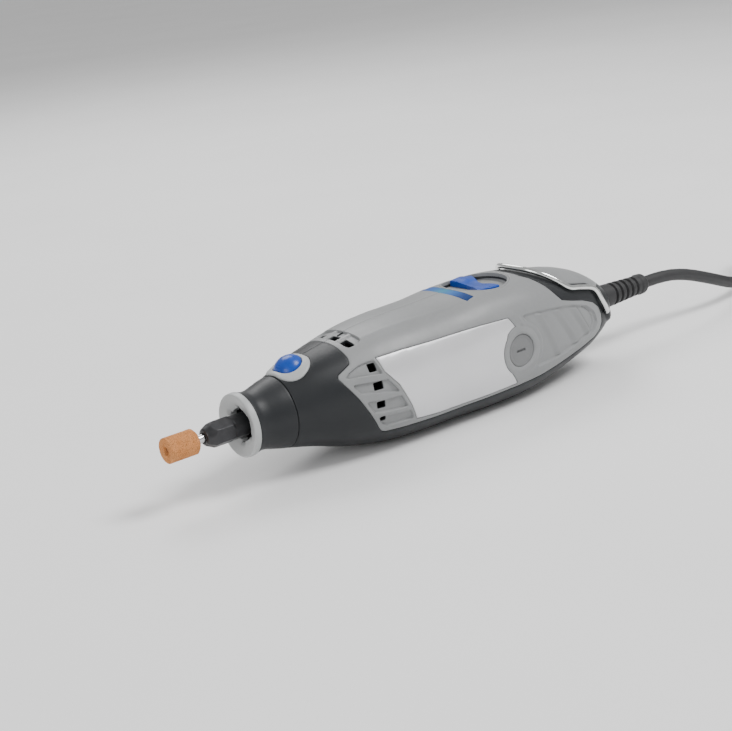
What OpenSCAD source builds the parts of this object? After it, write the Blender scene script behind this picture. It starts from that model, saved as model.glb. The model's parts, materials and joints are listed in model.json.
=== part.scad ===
// Rotary hobby tool with a grinding stone in its collet, built as separate pieces.
// Millimetres. The tool's axis runs along X, nose towards -X, top towards +Z.
// Inside the modules x is counted from the nose ring's front face and z from the axis.

/* [Body] */
// Length from the nose ring's front face to the end of the housing
body_len = 184; // [180:0.5:188]
// Width of the housing at its widest
body_width = 49.8; // [48:0.2:52]
// Wall of the housing
wall = 2.4; // [2:0.1:2.8]
// Thickness of the grey covers let into the housing
cover_t = 1.35; // [1.2:0.05:1.5]
// Height of the axis over the flat of the belly
axis_h = 23.6; // [23.2:0.1:24]

/* [Nose] */
// Diameter of the nose ring
ring_d = 24.2; // [23:0.1:25]
// Diameter of the hole through the nose ring
ring_hole_d = 12.2; // [11:0.1:13]
// Joint between the nose cap and the housing
seam_x = 17.8; // [17:0.1:19]
// Thread of the nose, which the cap screws onto
nose_thread_d = 19.05; // [18:0.05:20]
// Across the flats of the collet nut
nut_flats = 8.7; // [8:0.1:9.5]

/* [Bit] */
// Shank of the bit
shank_d = 3.175; // [2.35:0.005:3.2]
// Diameter of the stone
stone_d = 9.5; // [8:0.1:11]
// Length of the stone
stone_len = 12.1; // [10:0.1:14]
// Front face of the stone, ahead of the nose ring
stone_front = 30; // [28:0.5:34]

/* [Controls] */
// Travel of the spindle lock button
lock_travel = 2.8; // [2.5:0.1:3]
// Radius of the speed dial's handle
dial_r = 12.4; // [11:0.1:12.8]
// Angle at which the dial stands, from square across the tool
dial_angle = 12; // [0:1:30]

/* [Hanger] */
// Wire of the hanger
wire_d = 2.2; // [2:0.1:2.4]

/* [Cord] */
// Diameter of the cord
cord_d = 5.2; // [5:0.1:5.6]
// End of the cord guard behind the nose ring's front face
guard_end = 213.5; // [208:0.5:218]
// Rise of each turn of the tied hank
hank_pitch = 5.6; // [5.6:0.1:6]
// Start of the hank's straight part along the tool
hank_x = 332; // [330:1:334]
// Length of the hank's straight part
hank_len = 76; // [72:1:78]
// Diameter of a plug pin
plug_pin_d = 4.8; // [4:0.1:4.8]
// Length of a plug pin
plug_pin_len = 19; // [18.5:0.1:19.5]
// Distance between the plug pins
plug_pitch = 19; // [18:0.1:19.2]

/* [Hidden] */
NODES = ["housing_left", "housing_right", "cover_left", "cover_right", "panel_left", "panel_right",
    "tail_cap", "dial_seat", "speed_scale", "lock_bezel", "nose_sleeve",
    "spindle_bearing_outers", "spindle_bearing_balls", "spindle_bearing_inners",
    "motor_bearing_outers", "motor_bearing_balls", "motor_bearing_inners", "bearing_cushion",
    "field_core", "field_coils", "brush_holder_left", "brush_holder_right",
    "carbon_brush_left", "carbon_brush_right", "brush_springs", "brush_cap_left", "brush_cap_right",
    "control_board", "capacitor", "triac", "dial_switch", "cord_clamp", "clamp_screws",
    "cord_guard", "housing_screws", "cord", "cord_hank", "cord_tail", "cord_tie", "plug_body", "plug_pins",
    "spindle", "collet", "drive_coupling", "motor_shaft", "cooling_fan", "armature_core",
    "armature_windings", "commutator", "collet_nut", "grinding_stone", "stone_mandrel",
    "nose_cap", "nose_ring", "lock_button", "lock_pin", "lock_spring", "speed_dial", "hanger"];
node = "all";

SEG = 28;                 // points round a body section
GAP = 0.05;               // assembly gap between fitted pieces
FAR = 60;                 // longer than any half width or height
kx = body_len / 184;
ky = body_width / 49.8;
x_mid = (guard_end - stone_front) / 2;
floor_z = -axis_h;
$fn = 32;

// Body sections: x, half width, height of the top, depth of the bottom, squareness
KNOTS = [
    [17.8, 13.8, 13.8, 13.8, 2.0],
    [28, 17.2, 17.2, 16.2, 2.15],
    [40, 20.4, 19.7, 19.8, 2.3],
    [55, 23.0, 22.3, 22.7, 2.5],
    [70, 24.3, 23.4, 23.6, 2.6],
    [90, 24.7, 24.0, 23.9, 2.6],
    [108, 24.9, 25.1, 24.1, 2.8],
    [130, 24.4, 24.8, 23.2, 2.8],
    [150, 22.3, 21.9, 19.6, 2.6],
    [164, 19.9, 18.9, 16.0, 2.6],
    [171, 17.6, 15.6, 13.4, 2.5],
    [177, 14.6, 11.6, 10.8, 2.35],
    [181, 11.4, 8.6, 8.6, 2.2],
    [184, 7.8, 7.2, 7.2, 2.0]];
OUTER_X = [17.8, 20.5, 24, 28, 32.5, 37, 42, 47.5, 53.5, 60, 68, 77, 87, 97, 106, 114, 122, 130, 138, 145,
    151.5, 157.5, 162.5, 166.5, 170, 173, 176, 178.6, 180.8, 182.6, 184];
INNER_X = [20.4, 25, 31, 38, 46, 58, 74, 97, 116, 132, 146, 158, 167, 173, 178, 181.2];

function last(v) = len(v) - 1;
function span(x) = max([for (i = [0:last(KNOTS) - 1]) KNOTS[i][0] * kx <= x ? i : 0]);
function rise(i, c) = let (a = max(i - 1, 0), b = min(i + 1, last(KNOTS)))
    (KNOTS[b][c] - KNOTS[a][c]) / ((KNOTS[b][0] - KNOTS[a][0]) * kx);
function blend(x, c) =
    let (i = span(x), h = (KNOTS[i + 1][0] - KNOTS[i][0]) * kx, t = (x - KNOTS[i][0] * kx) / h)
    KNOTS[i][c] * (2 * pow(t, 3) - 3 * t * t + 1) + rise(i, c) * h * (pow(t, 3) - 2 * t * t + t)
    + KNOTS[i + 1][c] * (3 * t * t - 2 * pow(t, 3)) + rise(i + 1, c) * h * (pow(t, 3) - t * t);
function half_w(x) = blend(x, 1) * ky;
function top_z(x) = blend(x, 2);
function low_z(x) = -blend(x, 3);
function squareness(x) = blend(x, 4);
function mid_z(x) = (top_z(x) + low_z(x)) / 2;
function half_h(x) = (top_z(x) - low_z(x)) / 2;
// Half width of the body at a height, and its top surface at a place across
function side_y(x, z) = half_w(x) * pow(max(1 - pow(abs(z - mid_z(x)) / half_h(x), squareness(x)), 0),
    1 / squareness(x));
function roof_z(x, y) = mid_z(x) + half_h(x) * pow(max(1 - pow(abs(y) / half_w(x), squareness(x)), 0),
    1 / squareness(x));
function section(x, inset) = let (w = half_w(x) - inset, h = half_h(x) - inset, e = 2 / squareness(x))
    [for (k = [0:SEG - 1]) let (c = cos(360 * k / SEG), s = sin(360 * k / SEG))
        [x, w * sign(c) * pow(abs(c), e), mid_z(x) + h * sign(s) * pow(abs(s), e)]];

module loft(xs, inset) {
    n = len(xs);
    pts = [for (x = xs) each section(x * kx, inset)];
    sides = [for (i = [0:n - 2], k = [0:SEG - 1]) let (j = (k + 1) % SEG, a = i * SEG, b = a + SEG)
        each [[a + k, b + k, b + j], [a + k, b + j, a + j]]];
    ends = [[for (k = [0:SEG - 1]) k], [for (k = [SEG - 1:-1:0]) (n - 1) * SEG + k]];
    polyhedron(pts, concat(sides, ends));
}

// The stretch of the outer body between two places along the tool
function near(x0, x1) = [for (x = OUTER_X) if (x >= x0 && x <= x1) x];

module body_solid() {
    difference() {
        loft(OUTER_X, 0);
        translate([-FAR, -FAR, floor_z - FAR]) cube([5 * FAR, 2 * FAR, FAR]);
    }
}

// One side of the tool: -1 is the left, +1 the right
module half_space(side) {
    translate([-FAR, side < 0 ? -FAR : 0, -FAR]) cube([6 * FAR, FAR, 2 * FAR]);
}

// A side view outline carried out to one side
module side_prism(outline, side) {
    rotate([90, 0, 0]) translate([0, 0, side < 0 ? 0 : -FAR]) linear_extrude(FAR) polygon(outline);
}

module through_prism(outline) {
    rotate([90, 0, 0]) linear_extrude(2 * FAR, center = true) polygon(outline);
}

// A cylinder along Y on one side, from one distance out to another
module out_cyl(side, x, z, r, y0, y1, fn = 32) {
    translate([x, side * y0, z]) rotate([side > 0 ? -90 : 90, 0, 0]) cylinder(r = r, h = y1 - y0, $fn = fn);
}

// A box on one side, from one distance out to another
module out_box(side, x, z, wx, wz, y0, y1) {
    translate([x - wx / 2, side > 0 ? y0 : -y1, z - wz / 2]) cube([wx, y1 - y0, wz]);
}

// A solid or ring turned about the axis from x, radius pairs
module turned(profile, fn = 32) {
    rotate([0, 90, 0]) rotate_extrude($fn = fn) polygon([for (p = profile) [p[1], p[0]]]);
}

module ring(x0, x1, r_in, r_out, fn = 32) {
    turned([[x0, r_in], [x0, r_out], [x1, r_out], [x1, r_in]], fn);
}

function arc(cx, cz, r, a0, a1, n) = [for (i = [0:n]) let (a = a0 + (a1 - a0) * i / n)
    [cx + r * cos(a), cz + r * sin(a)]];

// Side view outlines
BRUSH_X = 118;
BRUSH_Z = -0.5;
GREY = [[42.2, FAR], [42.2, 16.2], [41.4, 14.3], [35.8, 11.8], [34.9, 10.6], [36.5, 8], [40.7, 1.5],
    [44.1, -4.4], [48.2, -11.8], [49.6, -13.6], [51.5, -14.3], [57.5, -14.6], [76, -15.1], [97, -15.1],
    [116.5, -14.8], [129, -14.2], [141, -12.7], [154, -10.7], [164, -8.4], [167.6, -6.2], [168.8, -3],
    [168.4, 0.5], [166.6, 4], [163, 7], [157, 9.4], [150, 11.2], [144.6, 12.8], [142.3, 15.6],
    [139.6, 19.4], [136.4, 22.6], [134.4, 24.2], [134.2, FAR]];
// Outline of the side panel, smaller all round by a gap
function panel_outline(g) = concat(
    [[51.2 + g, 14.6 - g], [62, 15 - g], [80, 14.7 - g], [100, 14.5 - g], [113.6 - g, 13.9 - g]],
    arc(BRUSH_X, BRUSH_Z, 10.4 + g, 100 + 20 * g, 128, 3), arc(BRUSH_X, BRUSH_Z, 9.6 + g, 140, 232, 6),
    [[115.8 - 2 * g, -13.6 + g], [96, -14 + g], [76, -13.7 + g], [64.6 + g, -12.9 + g], [61.9 + g, -6.2],
    [57.6 + g, 2.8], [52.7 + g, 9]]);
TAIL = [[139.8, FAR], [139.8, 23.6], [143, 21.2], [147.6, 18.6], [150.4, 17.4], [163.4, 14.4], [166, 12.6],
    [170, 11.2], [176, 10.4], [176, FAR]];
// Air openings in the side: x, z, length, height
SIDE_VENTS = [[48.8, 12, 3.8, 3.6], [49.3, 4.9, 4.2, 3.8], [49.3, -2.4, 4.2, 3], [49.7, -8.2, 2.4, 2]];
// Air openings in the top: y, width
TOP_VENTS = [[0, 5.4], [8.6, 6.6], [-8.6, 6.6]];
TOP_VENT_X = 46;
// Housing screws seen from the side: x, z
SCREWS = [[44, -15.5], [36.8, 13.8], [108, -18.2], [150, -13.2]];
LOCK_X = 25;
LOCK_OVAL = 2.9;          // half of the lock bezel's straight part
BUTTON_OVAL = 1.3;        // half of the button's straight part
SCALE_X = 101.6;
DIAL_X = 118;
DIAL_SEAT_R = 14;
DIAL_FLOOR = 21.6;
PIVOT_X = 172;
PIVOT_Z = 0.6;
CLAMP_X = 170;

module oval_prism(r, half, z0, z1) {
    for (s = [-1, 1]) translate([LOCK_X, s * half, z0]) cylinder(r = r, h = z1 - z0);
    translate([LOCK_X - r, -half, z0]) cube([2 * r, 2 * half, z1 - z0]);
}

module vent_cuts() {
    for (v = SIDE_VENTS, s = [-1, 1]) out_box(s, v[0], v[1], v[2], v[3], 14, 30);
    for (v = TOP_VENTS) translate([TOP_VENT_X - 1.6, v[0] - v[1] / 2, 12]) cube([3.2, v[1], 20]);
}

module vent_channels() {
    difference() {
        union() {
            for (v = SIDE_VENTS, s = [-1, 1]) out_box(s, v[0] - 0.6, v[1], v[2] + 5.6, v[3] + 1.2, 14, 30);
            translate([TOP_VENT_X - 2.2, -12.4, 12]) cube([7.4, 24.8, 20]);
        }
        loft(near(42, 60), 0.8);
    }
}

module brush_hole(side) {
    out_cyl(side, BRUSH_X, BRUSH_Z, 6.55, 21.85, 30, 40);
    out_cyl(side, BRUSH_X, BRUSH_Z, 5.05, 16, 30);
}

module screw_recess(side) {
    for (p = SCREWS) if (side > 0) {
        out_cyl(1, p[0], p[1], 3.1, 7.5, 30, 24);
        out_cyl(1, p[0], p[1], 1.6, -1, 8, 20);
    } else out_cyl(-1, p[0], p[1], 1.3, -1, 9.6, 20);
}

module dial_hole() {
    translate([DIAL_X, 0, DIAL_FLOOR - 1.25]) cylinder(r = DIAL_SEAT_R + GAP, h = 12, $fn = 48);
}

module bezel_hole() {
    oval_prism(4.95, BUTTON_OVAL, 10, 24);
    difference() {
        oval_prism(6.85, LOCK_OVAL, 9, 24);
        loft(near(17, 33), cover_t);
    }
}

// Bulkheads and bosses inside one half of the housing
module supports(side) {
    intersection() {
        half_space(side);
        loft(INNER_X, wall - 0.3);
        union() {
            translate([36, -FAR, -FAR]) cube([3, 2 * FAR, 2 * FAR]);
            translate([51.8, -FAR, -7]) cube([3.6, 2 * FAR, 14]);
            for (x = [74, 92]) translate([x, -FAR, -FAR]) cube([2.4, 2 * FAR, 2 * FAR]);
            translate([127.2, -FAR, -9]) cube([5.6, 2 * FAR, 18]);
            translate([CLAMP_X - 3.5, -FAR, -5.4]) cube([7, 2 * FAR, 5.4 - cord_d / 2 - GAP]);
            out_cyl(side, BRUSH_X, BRUSH_Z, 7, 10, 23);
            translate([DIAL_X, 0, DIAL_FLOOR - 3.2]) cylinder(r = DIAL_SEAT_R + 1.6, h = 8);
            for (p = SCREWS) out_cyl(side, p[0], p[1], side > 0 ? 4.4 : 3.4, 0, 24, 24);
        }
    }
}

module support_bores(side) {
    ring(20.4, 40.1, 0, 9.05);
    ring(20.4, 31.1, 0, 10.6);
    ring(51.4, 55.8, 0, 6.55);
    ring(69, 99, 0, 21.05, 48);
    ring(126, 134, 0, 8.55);
    out_box(side, BRUSH_X, BRUSH_Z, 7.7, 8.7, 8, 17.05);
    translate([DIAL_X, 0, DIAL_FLOOR - 9]) cylinder(r = 12, h = 9);
    for (s = [-1, 1]) translate([CLAMP_X, s * 6.5, -5]) cylinder(r = 1.25, h = 5, $fn = 20);
}

module housing_half(side) {
    difference() {
        union() {
            intersection() {
                half_space(side);
                difference() {
                    body_solid();
                    loft(INNER_X, wall);
                }
            }
            supports(side);
        }
        support_bores(side);
        ring(17, 21, 0, nose_thread_d / 2 + GAP);
        difference() {
            side_prism(GREY, side);
            loft(near(28, 174), cover_t);
        }
        difference() {
            through_prism(TAIL);
            loft(near(130, 182), cover_t);
        }
        bezel_hole();
        dial_hole();
        vent_cuts();
        brush_hole(side);
        screw_recess(side);
        ring(174, 190, 0, 5.75);
        out_cyl(side, PIVOT_X, PIVOT_Z, wire_d / 2 + 0.08, 9, 30, 20);
    }
}

module cover(side) {
    intersection() {
        half_space(side);
        difference() {
            intersection() {
                side_prism([for (p = GREY)
                    [p[0] + (p[0] < 60 ? GAP : -GAP), p[1] + (p[1] < 0 ? GAP : 0)]], side);
                loft(near(28, 174), 0);
            }
            loft(near(28, 174), cover_t - GAP);
            dial_hole();
            vent_cuts();
            vent_channels();
            brush_hole(side);
            if (side > 0) screw_recess(side);
            difference() {
                side_prism(panel_outline(0), side);
                loft(near(47, 122), 0.65);
            }
            difference() {
                scale_prism(GAP);
                loft(near(87, 106), 0.45);
            }
            for (x = [70, 100]) out_cyl(side, x, 0, 1.05, 20, 30, 20);
            for (s = [-1, 1]) translate([SCALE_X, s * 8, 20]) cylinder(r = 0.8, h = 8, $fn = 16);
        }
    }
}

module panel(side) {
    intersection() {
        side_prism(panel_outline(GAP), side);
        difference() {
            loft(near(47, 122), 0);
            loft(near(47, 122), 0.6);
        }
    }
    for (x = [70, 100]) out_cyl(side, x, 0, 1, side_y(x, 0) - cover_t + 2 * GAP, side_y(x, 0) - 0.5, 20);
}

module tail_cap() {
    difference() {
        intersection() {
            through_prism([for (p = TAIL) [p[0] + (p[0] < 175 ? GAP : -GAP), p[1] + GAP]]);
            loft(near(130, 182), 0);
        }
        loft(near(130, 182), cover_t - GAP);
    }
}

// The scale is a band across the top, ahead of the dial
module scale_prism(grow) {
    far_c = 60;
    intersection() {
        translate([SCALE_X + far_c, 0, 15]) difference() {
            cylinder(r = far_c + 2.2 + grow, h = 20, $fn = 160);
            translate([0, 0, -1]) cylinder(r = far_c - 2.2 - grow, h = 22, $fn = 160);
        }
        translate([95, -14 - grow, 15]) cube([15, 28 + 2 * grow, 20]);
    }
}

module speed_scale() {
    intersection() {
        scale_prism(0);
        difference() {
            loft(near(87, 106), 0);
            loft(near(87, 106), 0.4);
        }
    }
    top = roof_z(SCALE_X, 8);
    for (s = [-1, 1])
        translate([SCALE_X, s * 8, top - cover_t + 2 * GAP]) cylinder(r = 0.75, h = 0.9, $fn = 16);
}

module dial_seat() {
    difference() {
        intersection() {
            translate([DIAL_X, 0, DIAL_FLOOR - 1.2]) cylinder(r = DIAL_SEAT_R, h = 8, $fn = 48);
            loft(near(97, 138), 0);
        }
        translate([DIAL_X, 0, DIAL_FLOOR]) cylinder(r = DIAL_SEAT_R - 0.9, h = 8, $fn = 48);
        translate([DIAL_X, 0, DIAL_FLOOR - 2]) cylinder(r = 3.1, h = 4);
    }
}

module dial_switch() {
    difference() {
        translate([DIAL_X, 0, 13.4]) cylinder(r = 7.5, h = DIAL_FLOOR - 1.2 - GAP - 13.4);
        translate([DIAL_X, 0, 15.9]) cylinder(r = 3.05, h = 8);
    }
}

module speed_dial() {
    lobe = [for (a = [90, 270]) each arc(0, 0, dial_r, a - 22, a + 22, 6)];
    translate([DIAL_X, 0, 0]) {
        translate([0, 0, DIAL_FLOOR + 0.1]) rotate([0, 0, -dial_angle]) {
            linear_extrude(2.9) polygon(lobe);
            cylinder(r = 4.2, h = 2.4);
        }
        translate([0, 0, 16]) cylinder(r = 3, h = DIAL_FLOOR - 15.8);
    }
}

module lock_bezel() {
    difference() {
        intersection() {
            oval_prism(6.8, LOCK_OVAL, 9, 24);
            loft(near(17, 33), -0.5);
        }
        loft(near(17, 33), cover_t - GAP);
        oval_prism(4.75, BUTTON_OVAL, 9, 24);
    }
}

BUTTON_Z = 13.4;          // underside of the lock button
module lock_button() {
    intersection() {
        oval_prism(4.65, BUTTON_OVAL, BUTTON_Z, 22);
        translate([LOCK_X + 1.3, 0, 12.9]) sphere(r = 6.7, $fn = 48);
    }
}

module lock_pin() {
    translate([LOCK_X, 0, 6]) cylinder(r = 1.7, h = BUTTON_Z - 6 - 0.01);
}

SPRING_SEAT = 8.65;
module lock_spring() {
    coils = 5;
    step = (BUTTON_Z - GAP - SPRING_SEAT - 0.8) / (coils - 1);
    for (i = [0:coils - 1]) translate([LOCK_X, 0, SPRING_SEAT + 0.4 + i * step])
        rotate_extrude($fn = 20) translate([2.6, 0]) circle(r = 0.4, $fn = 8);
    translate([LOCK_X - 0.3, 2.3, SPRING_SEAT]) cube([0.6, 0.6, BUTTON_Z - GAP - SPRING_SEAT]);
}

module nose_sleeve() {
    r = nose_thread_d / 2;
    difference() {
        turned([[5.2, 8.02], [5.2, r - 0.6], [5.8, r], [20.45, r], [20.45, 10.5], [31, 10.5], [31, 9],
            [40, 9], [40, 8.02], [33, 8.02], [33, 6.2], [14.05, 6.2], [14.05, 8.02]], 40);
        translate([LOCK_X, 0, 5]) cylinder(r = 1.78, h = 8, $fn = 20);
        translate([LOCK_X, 0, SPRING_SEAT]) cylinder(r = 3.3, h = 4, $fn = 24);
    }
}

// Bearings: front x, ball circle, ball radius
SPINDLE_BEARINGS = [[9, 0], [33.05, 0]];
MOTOR_BEARINGS = [51.6, 127.4];
module outer_race(x, w, r_in, r_out) {
    turned([[x, r_in], [x, r_out], [x + w, r_out], [x + w, r_in], [x + w * 0.7, r_in - 0.25],
        [x + w * 0.62, r_in + 0.2], [x + w * 0.38, r_in + 0.2], [x + w * 0.3, r_in - 0.25]]);
}

module balls(x, pcr, r, count) {
    for (i = [0:count - 1]) rotate([360 * i / count, 0, 0]) translate([x, 0, pcr]) sphere(r = r, $fn = 14);
    ring(x - r * 0.35, x + r * 0.35, pcr - 0.2, pcr + 0.2, 24);
}

module spindle() {
    difference() {
        turned([[-8.5, 0], [-8.5, 3.2], [-8.2, 3.5], [4.2, 3.5], [4.2, 3.98], [14.1, 3.98], [14.1, 4.6],
            [20, 4.6], [20, 5.5], [30.5, 5.5], [30.5, 4.6], [33, 4.6], [33, 3.98], [42, 3.98], [42, 2.5],
            [45.6, 2.5], [45.6, 0]]);
        ring(-9, 8, 0, 2.45, 24);
        translate([LOCK_X, 0, -8]) cylinder(r = 2, h = 16, $fn = 24);
        translate([LOCK_X, 8, 0]) rotate([90, 0, 0]) cylinder(r = 2, h = 16, $fn = 24);
    }
}

module collet() {
    difference() {
        turned([[-12.2, shank_d / 2 + 0.03], [-12.2, 2.1], [-9.4, 3], [-8.6, 3], [-8.6, 2.4], [7, 2.4],
            [7, shank_d / 2 + 0.03]], 24);
        for (a = [0, 90]) rotate([a + 45, 0, 0]) translate([-13, -0.25, -4]) cube([14, 0.5, 8]);
    }
}

module collet_nut() {
    difference() {
        union() {
            intersection() {
                turned([[-14.3, 0], [-14.3, 2.7], [-13.9, 3.2], [-10.6, 4.85], [-3, 4.85], [-3, 0]], 36);
                rotate([0, 90, 0]) translate([0, 0, -15]) cylinder(r = nut_flats / sqrt(3), h = 13, $fn = 6);
            }
            turned([[-3, 0], [-3, 4.35], [-2.6, 4.4], [3.5, 4.4], [3.5, 0]], 36);
        }
        turned([[-15, 0], [-15, 1.9], [-12.9, 1.9], [-9.2, 3.6], [4, 3.6], [4, 0]], 24);
    }
}

module grinding_stone() {
    turned([[-stone_front, 1.62], [-stone_front, stone_d / 2 - 0.4], [-stone_front + 0.4, stone_d / 2],
        [-stone_front + stone_len - 0.6, stone_d / 2], [-stone_front + stone_len, stone_d / 2 - 0.9],
        [-stone_front + stone_len, 1.62]], 40);
}

module stone_mandrel() {
    r = shank_d / 2;
    turned([[-stone_front + 1.2, 0], [-stone_front + 1.2, r - 0.3], [-stone_front + 1.5, r], [6.2, r],
        [6.5, r - 0.3], [6.5, 0]], 24);
}

module nose_ring() {
    r = ring_d / 2;
    h = ring_hole_d / 2;
    difference() {
        turned([[0.9, 8.6], [0, r - 0.7], [0.35, r - 0.15], [2.5, r], [2.6, r - 0.2], [2.6, 9.4], [4.6, 9.4],
            [4.6, h], [2.1, h]], 48);
        for (i = [0:5]) rotate([60 * i + 30, 0, 0]) translate([1, -1.1, h - 1]) cube([5, 2.2, 1.9]);
    }
}

module nose_cap() {
    r = ring_d / 2;
    turned([[2.65, 9.45], [2.65, r - 0.15], [3.6, r - 0.4], [5, r - 0.8], [6.5, r - 0.9], [8.5, r - 0.7],
        [11, 12.1], [14, 12.9], [seam_x - 0.15, 13.7], [seam_x - 0.15, nose_thread_d / 2 + 0.08],
        [4.65, nose_thread_d / 2 + 0.08], [4.65, 9.45]], 48);
}

module drive_coupling() {
    turned([[42.3, 2.55], [42.3, 5.6], [42.7, 6], [49.8, 6], [50.2, 5.6], [50.2, 2.55]], 24);
}

module motor_shaft() {
    turned([[46, 0], [46, 2.3], [46.2, 2.5], [131.8, 2.5], [132, 2.3], [132, 0]], 24);
}

module cooling_fan() {
    ring(57, 64, 2.55, 5);
    ring(62.8, 64, 4.8, 16.5, 40);
    for (i = [0:10]) rotate([360 * i / 11, 0, 0]) translate([57.6, -0.5, 4.7]) cube([5.4, 1, 11.4]);
}

SLOTS = 12;
module armature_core() {
    difference() {
        ring(70, 98, 2.55, 12, 48);
        for (i = [0:SLOTS - 1]) rotate([360 * i / SLOTS, 0, 0]) {
            translate([69, -1.3, 7.4]) cube([30, 2.6, 3.8]);
            translate([69, -0.6, 10]) cube([30, 1.2, 3]);
        }
    }
}

module armature_windings() {
    turned([[65.5, 5], [65.5, 9.6], [66.8, 11], [69.95, 11], [69.95, 5]], 36);
    turned([[98.05, 5], [98.05, 11], [101.6, 11], [103.4, 9], [103.4, 5]], 36);
    for (i = [0:SLOTS - 1]) rotate([360 * i / SLOTS, 0, 0]) translate([69.9, -1.2, 7.5]) cube([28.2, 2.4, 3.5]);
}

module commutator() {
    difference() {
        turned([[105, 2.55], [105, 8], [107.4, 8], [107.8, 7], [123, 7], [123, 2.55]], 40);
        for (i = [0:11]) rotate([30 * i, 0, 0]) translate([107.9, -0.2, 6.4]) cube([16, 0.4, 1]);
    }
}

module field_core() {
    difference() {
        intersection() {
            ring(70, 98, 12.4, 21, 48);
            translate([69, -21, -19.4]) cube([30, 42, 38.8]);
        }
        for (s = [-1, 1]) out_box(s, 84, 0, 30, 17, 12, 18.6);
    }
}

module field_coils() {
    for (s = [-1, 1]) {
        out_box(s, 84, 0, 37, 16.4, 13, 18.3);
    }
    for (x = [65.5, 98.3], s = [-1, 1]) translate([x, -14, s > 0 ? 12.6 : -17.4]) cube([4.2, 28, 4.8]);
    for (x = [65.5, 98.3], y = [-18.3, 14], z = [8, -12.8]) translate([x, y, z]) cube([4.2, 4.3, 4.8]);
}

module brush_holder(side) {
    difference() {
        out_box(side, BRUSH_X, BRUSH_Z, 7.6, 8.6, 8.3, 17);
        out_box(side, BRUSH_X, BRUSH_Z, 5.3, 6.4, 8, 18);
    }
}

module carbon_brush(side) {
    difference() {
        out_box(side, BRUSH_X, BRUSH_Z, 5.2, 6.3, 6.5, 14.6);
        ring(107, 130, 0, 7.04, 40);
    }
    out_cyl(side, BRUSH_X, BRUSH_Z, 1.2, 14.5, 15.4, 16);
}

module brush_springs() {
    coils = 6;
    for (s = [-1, 1]) {
        for (i = [0:coils - 1]) out_ring(s, 15.1 + i * 0.95);
        out_box(s, BRUSH_X + 1.9, BRUSH_Z, 0.5, 0.5, 14.7, 20.3);
    }
}

module out_ring(side, y) {
    translate([BRUSH_X, side * y, BRUSH_Z]) rotate([90, 0, 0]) rotate_extrude($fn = 20) translate([2, 0])
        circle(r = 0.35, $fn = 8);
}

module brush_cap(side) {
    difference() {
        union() {
            out_cyl(side, BRUSH_X, BRUSH_Z, 6.5, 21.9, 24.3, 40);
            out_cyl(side, BRUSH_X, BRUSH_Z, 5, 17.3, 22);
        }
        out_cyl(side, BRUSH_X, BRUSH_Z, 3, 17, 20.5, 24);
        out_box(side, BRUSH_X, BRUSH_Z, 4.4, 1, 23.4, 25);
    }
}

module bearing_cushion() {
    turned([[126.6, 6.55], [126.6, 8.5], [133, 8.5], [133, 3.4], [131.6, 3.4], [131.6, 6.55]]);
}

module control_board() {
    difference() {
        translate([137, -13, -7.8]) cube([24, 26, 1.6]);
        for (x = [139.5, 158.5], y = [-10.5, 10.5]) translate([x, y, -9]) cylinder(r = 1.5, h = 4, $fn = 20);
        for (y = LEADS) translate([CAPACITOR_X, y, -9]) cylinder(r = 0.5, h = 4, $fn = 14);
    }
}

CAPACITOR_X = 143;
LEADS = [-8, -4];
module capacitor() {
    translate([CAPACITOR_X, -6, -6.15]) cylinder(r = 4.5, h = 12);
    for (y = LEADS) translate([CAPACITOR_X, y, -8.4]) cylinder(r = 0.4, h = 2.3, $fn = 14);
}

module triac() {
    difference() {
        translate([150, 0, -6.15]) cube([4.4, 10, 14]);
        translate([149, 5, 5]) rotate([0, 90, 0]) cylinder(r = 1.6, h = 7, $fn = 20);
    }
}

module cord_clamp() {
    difference() {
        translate([CLAMP_X - 3, -9.4, cord_d / 2 + GAP]) cube([6, 18.8, 2]);
        for (s = [-1, 1]) translate([CLAMP_X, s * 6.5, 0]) cylinder(r = 1.35, h = 8, $fn = 20);
    }
}

module clamp_screws() {
    for (s = [-1, 1]) translate([CLAMP_X, s * 6.5, 0]) {
        translate([0, 0, -4.8]) cylinder(r = 1.2, h = 9.6, $fn = 20);
        translate([0, 0, cord_d / 2 + 2 + 2 * GAP]) cylinder(r = 2.3, h = 1.6, $fn = 20);
    }
}

module housing_screws() {
    for (p = SCREWS) {
        out_cyl(-1, p[0], p[1], 1.25, -1, 9.2, 20);
        out_cyl(1, p[0], p[1], 1.5, 0.5, 7.6, 20);
        difference() {
            out_cyl(1, p[0], p[1], 2.8, 7.55, 9.7, 24);
            out_cyl(1, p[0], p[1], 1.1, 8.6, 10, 14);
        }
    }
}

GUARD_RIBS = 5;
module cord_guard() {
    bore = cord_d / 2 + 0.1;
    // the sleeve tapers from the tail to its end, with grooves between its ribs
    function guard_r(x) = 5.65 - (x - 178) / (guard_end - 178) * 1.75;
    ribs = [for (i = [0:GUARD_RIBS - 1]) let (x = 192 + i * 3.4) each [[x, guard_r(x)],
        [x + 0.3, guard_r(x) - 0.9], [x + 1.3, guard_r(x) - 0.9], [x + 1.6, guard_r(x)]]];
    turned(concat([[175, bore], [175, 7.2], [177.4, 7.2], [177.6, guard_r(178)]], ribs,
        [[209.2, guard_r(209.2)], [210, 4.6], [212.4, 4.4], [guard_end, 3.7], [guard_end, bore]]));
}

// Hanger: smooth curve through the points that the wire follows
function unit(v) = v / norm(v);
function curve_at(P, i, t) = let (a = P[max(i - 1, 0)], b = P[i], c = P[i + 1], d = P[min(i + 2, last(P))])
    0.5 * (2 * b + (c - a) * t + (2 * a - 5 * b + 4 * c - d) * t * t + (3 * b - a - 3 * c + d) * pow(t, 3));
function smooth(P, n) = concat([for (i = [0:last(P) - 1], k = [0:n - 1]) curve_at(P, i, k / n)], [P[last(P)]]);
function carried(T, N) = len(N) == len(T) ? N
    : let (m = N[last(N)], t = T[len(N)]) carried(T, concat(N, [unit(m - (m * t) * t)]));

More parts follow.
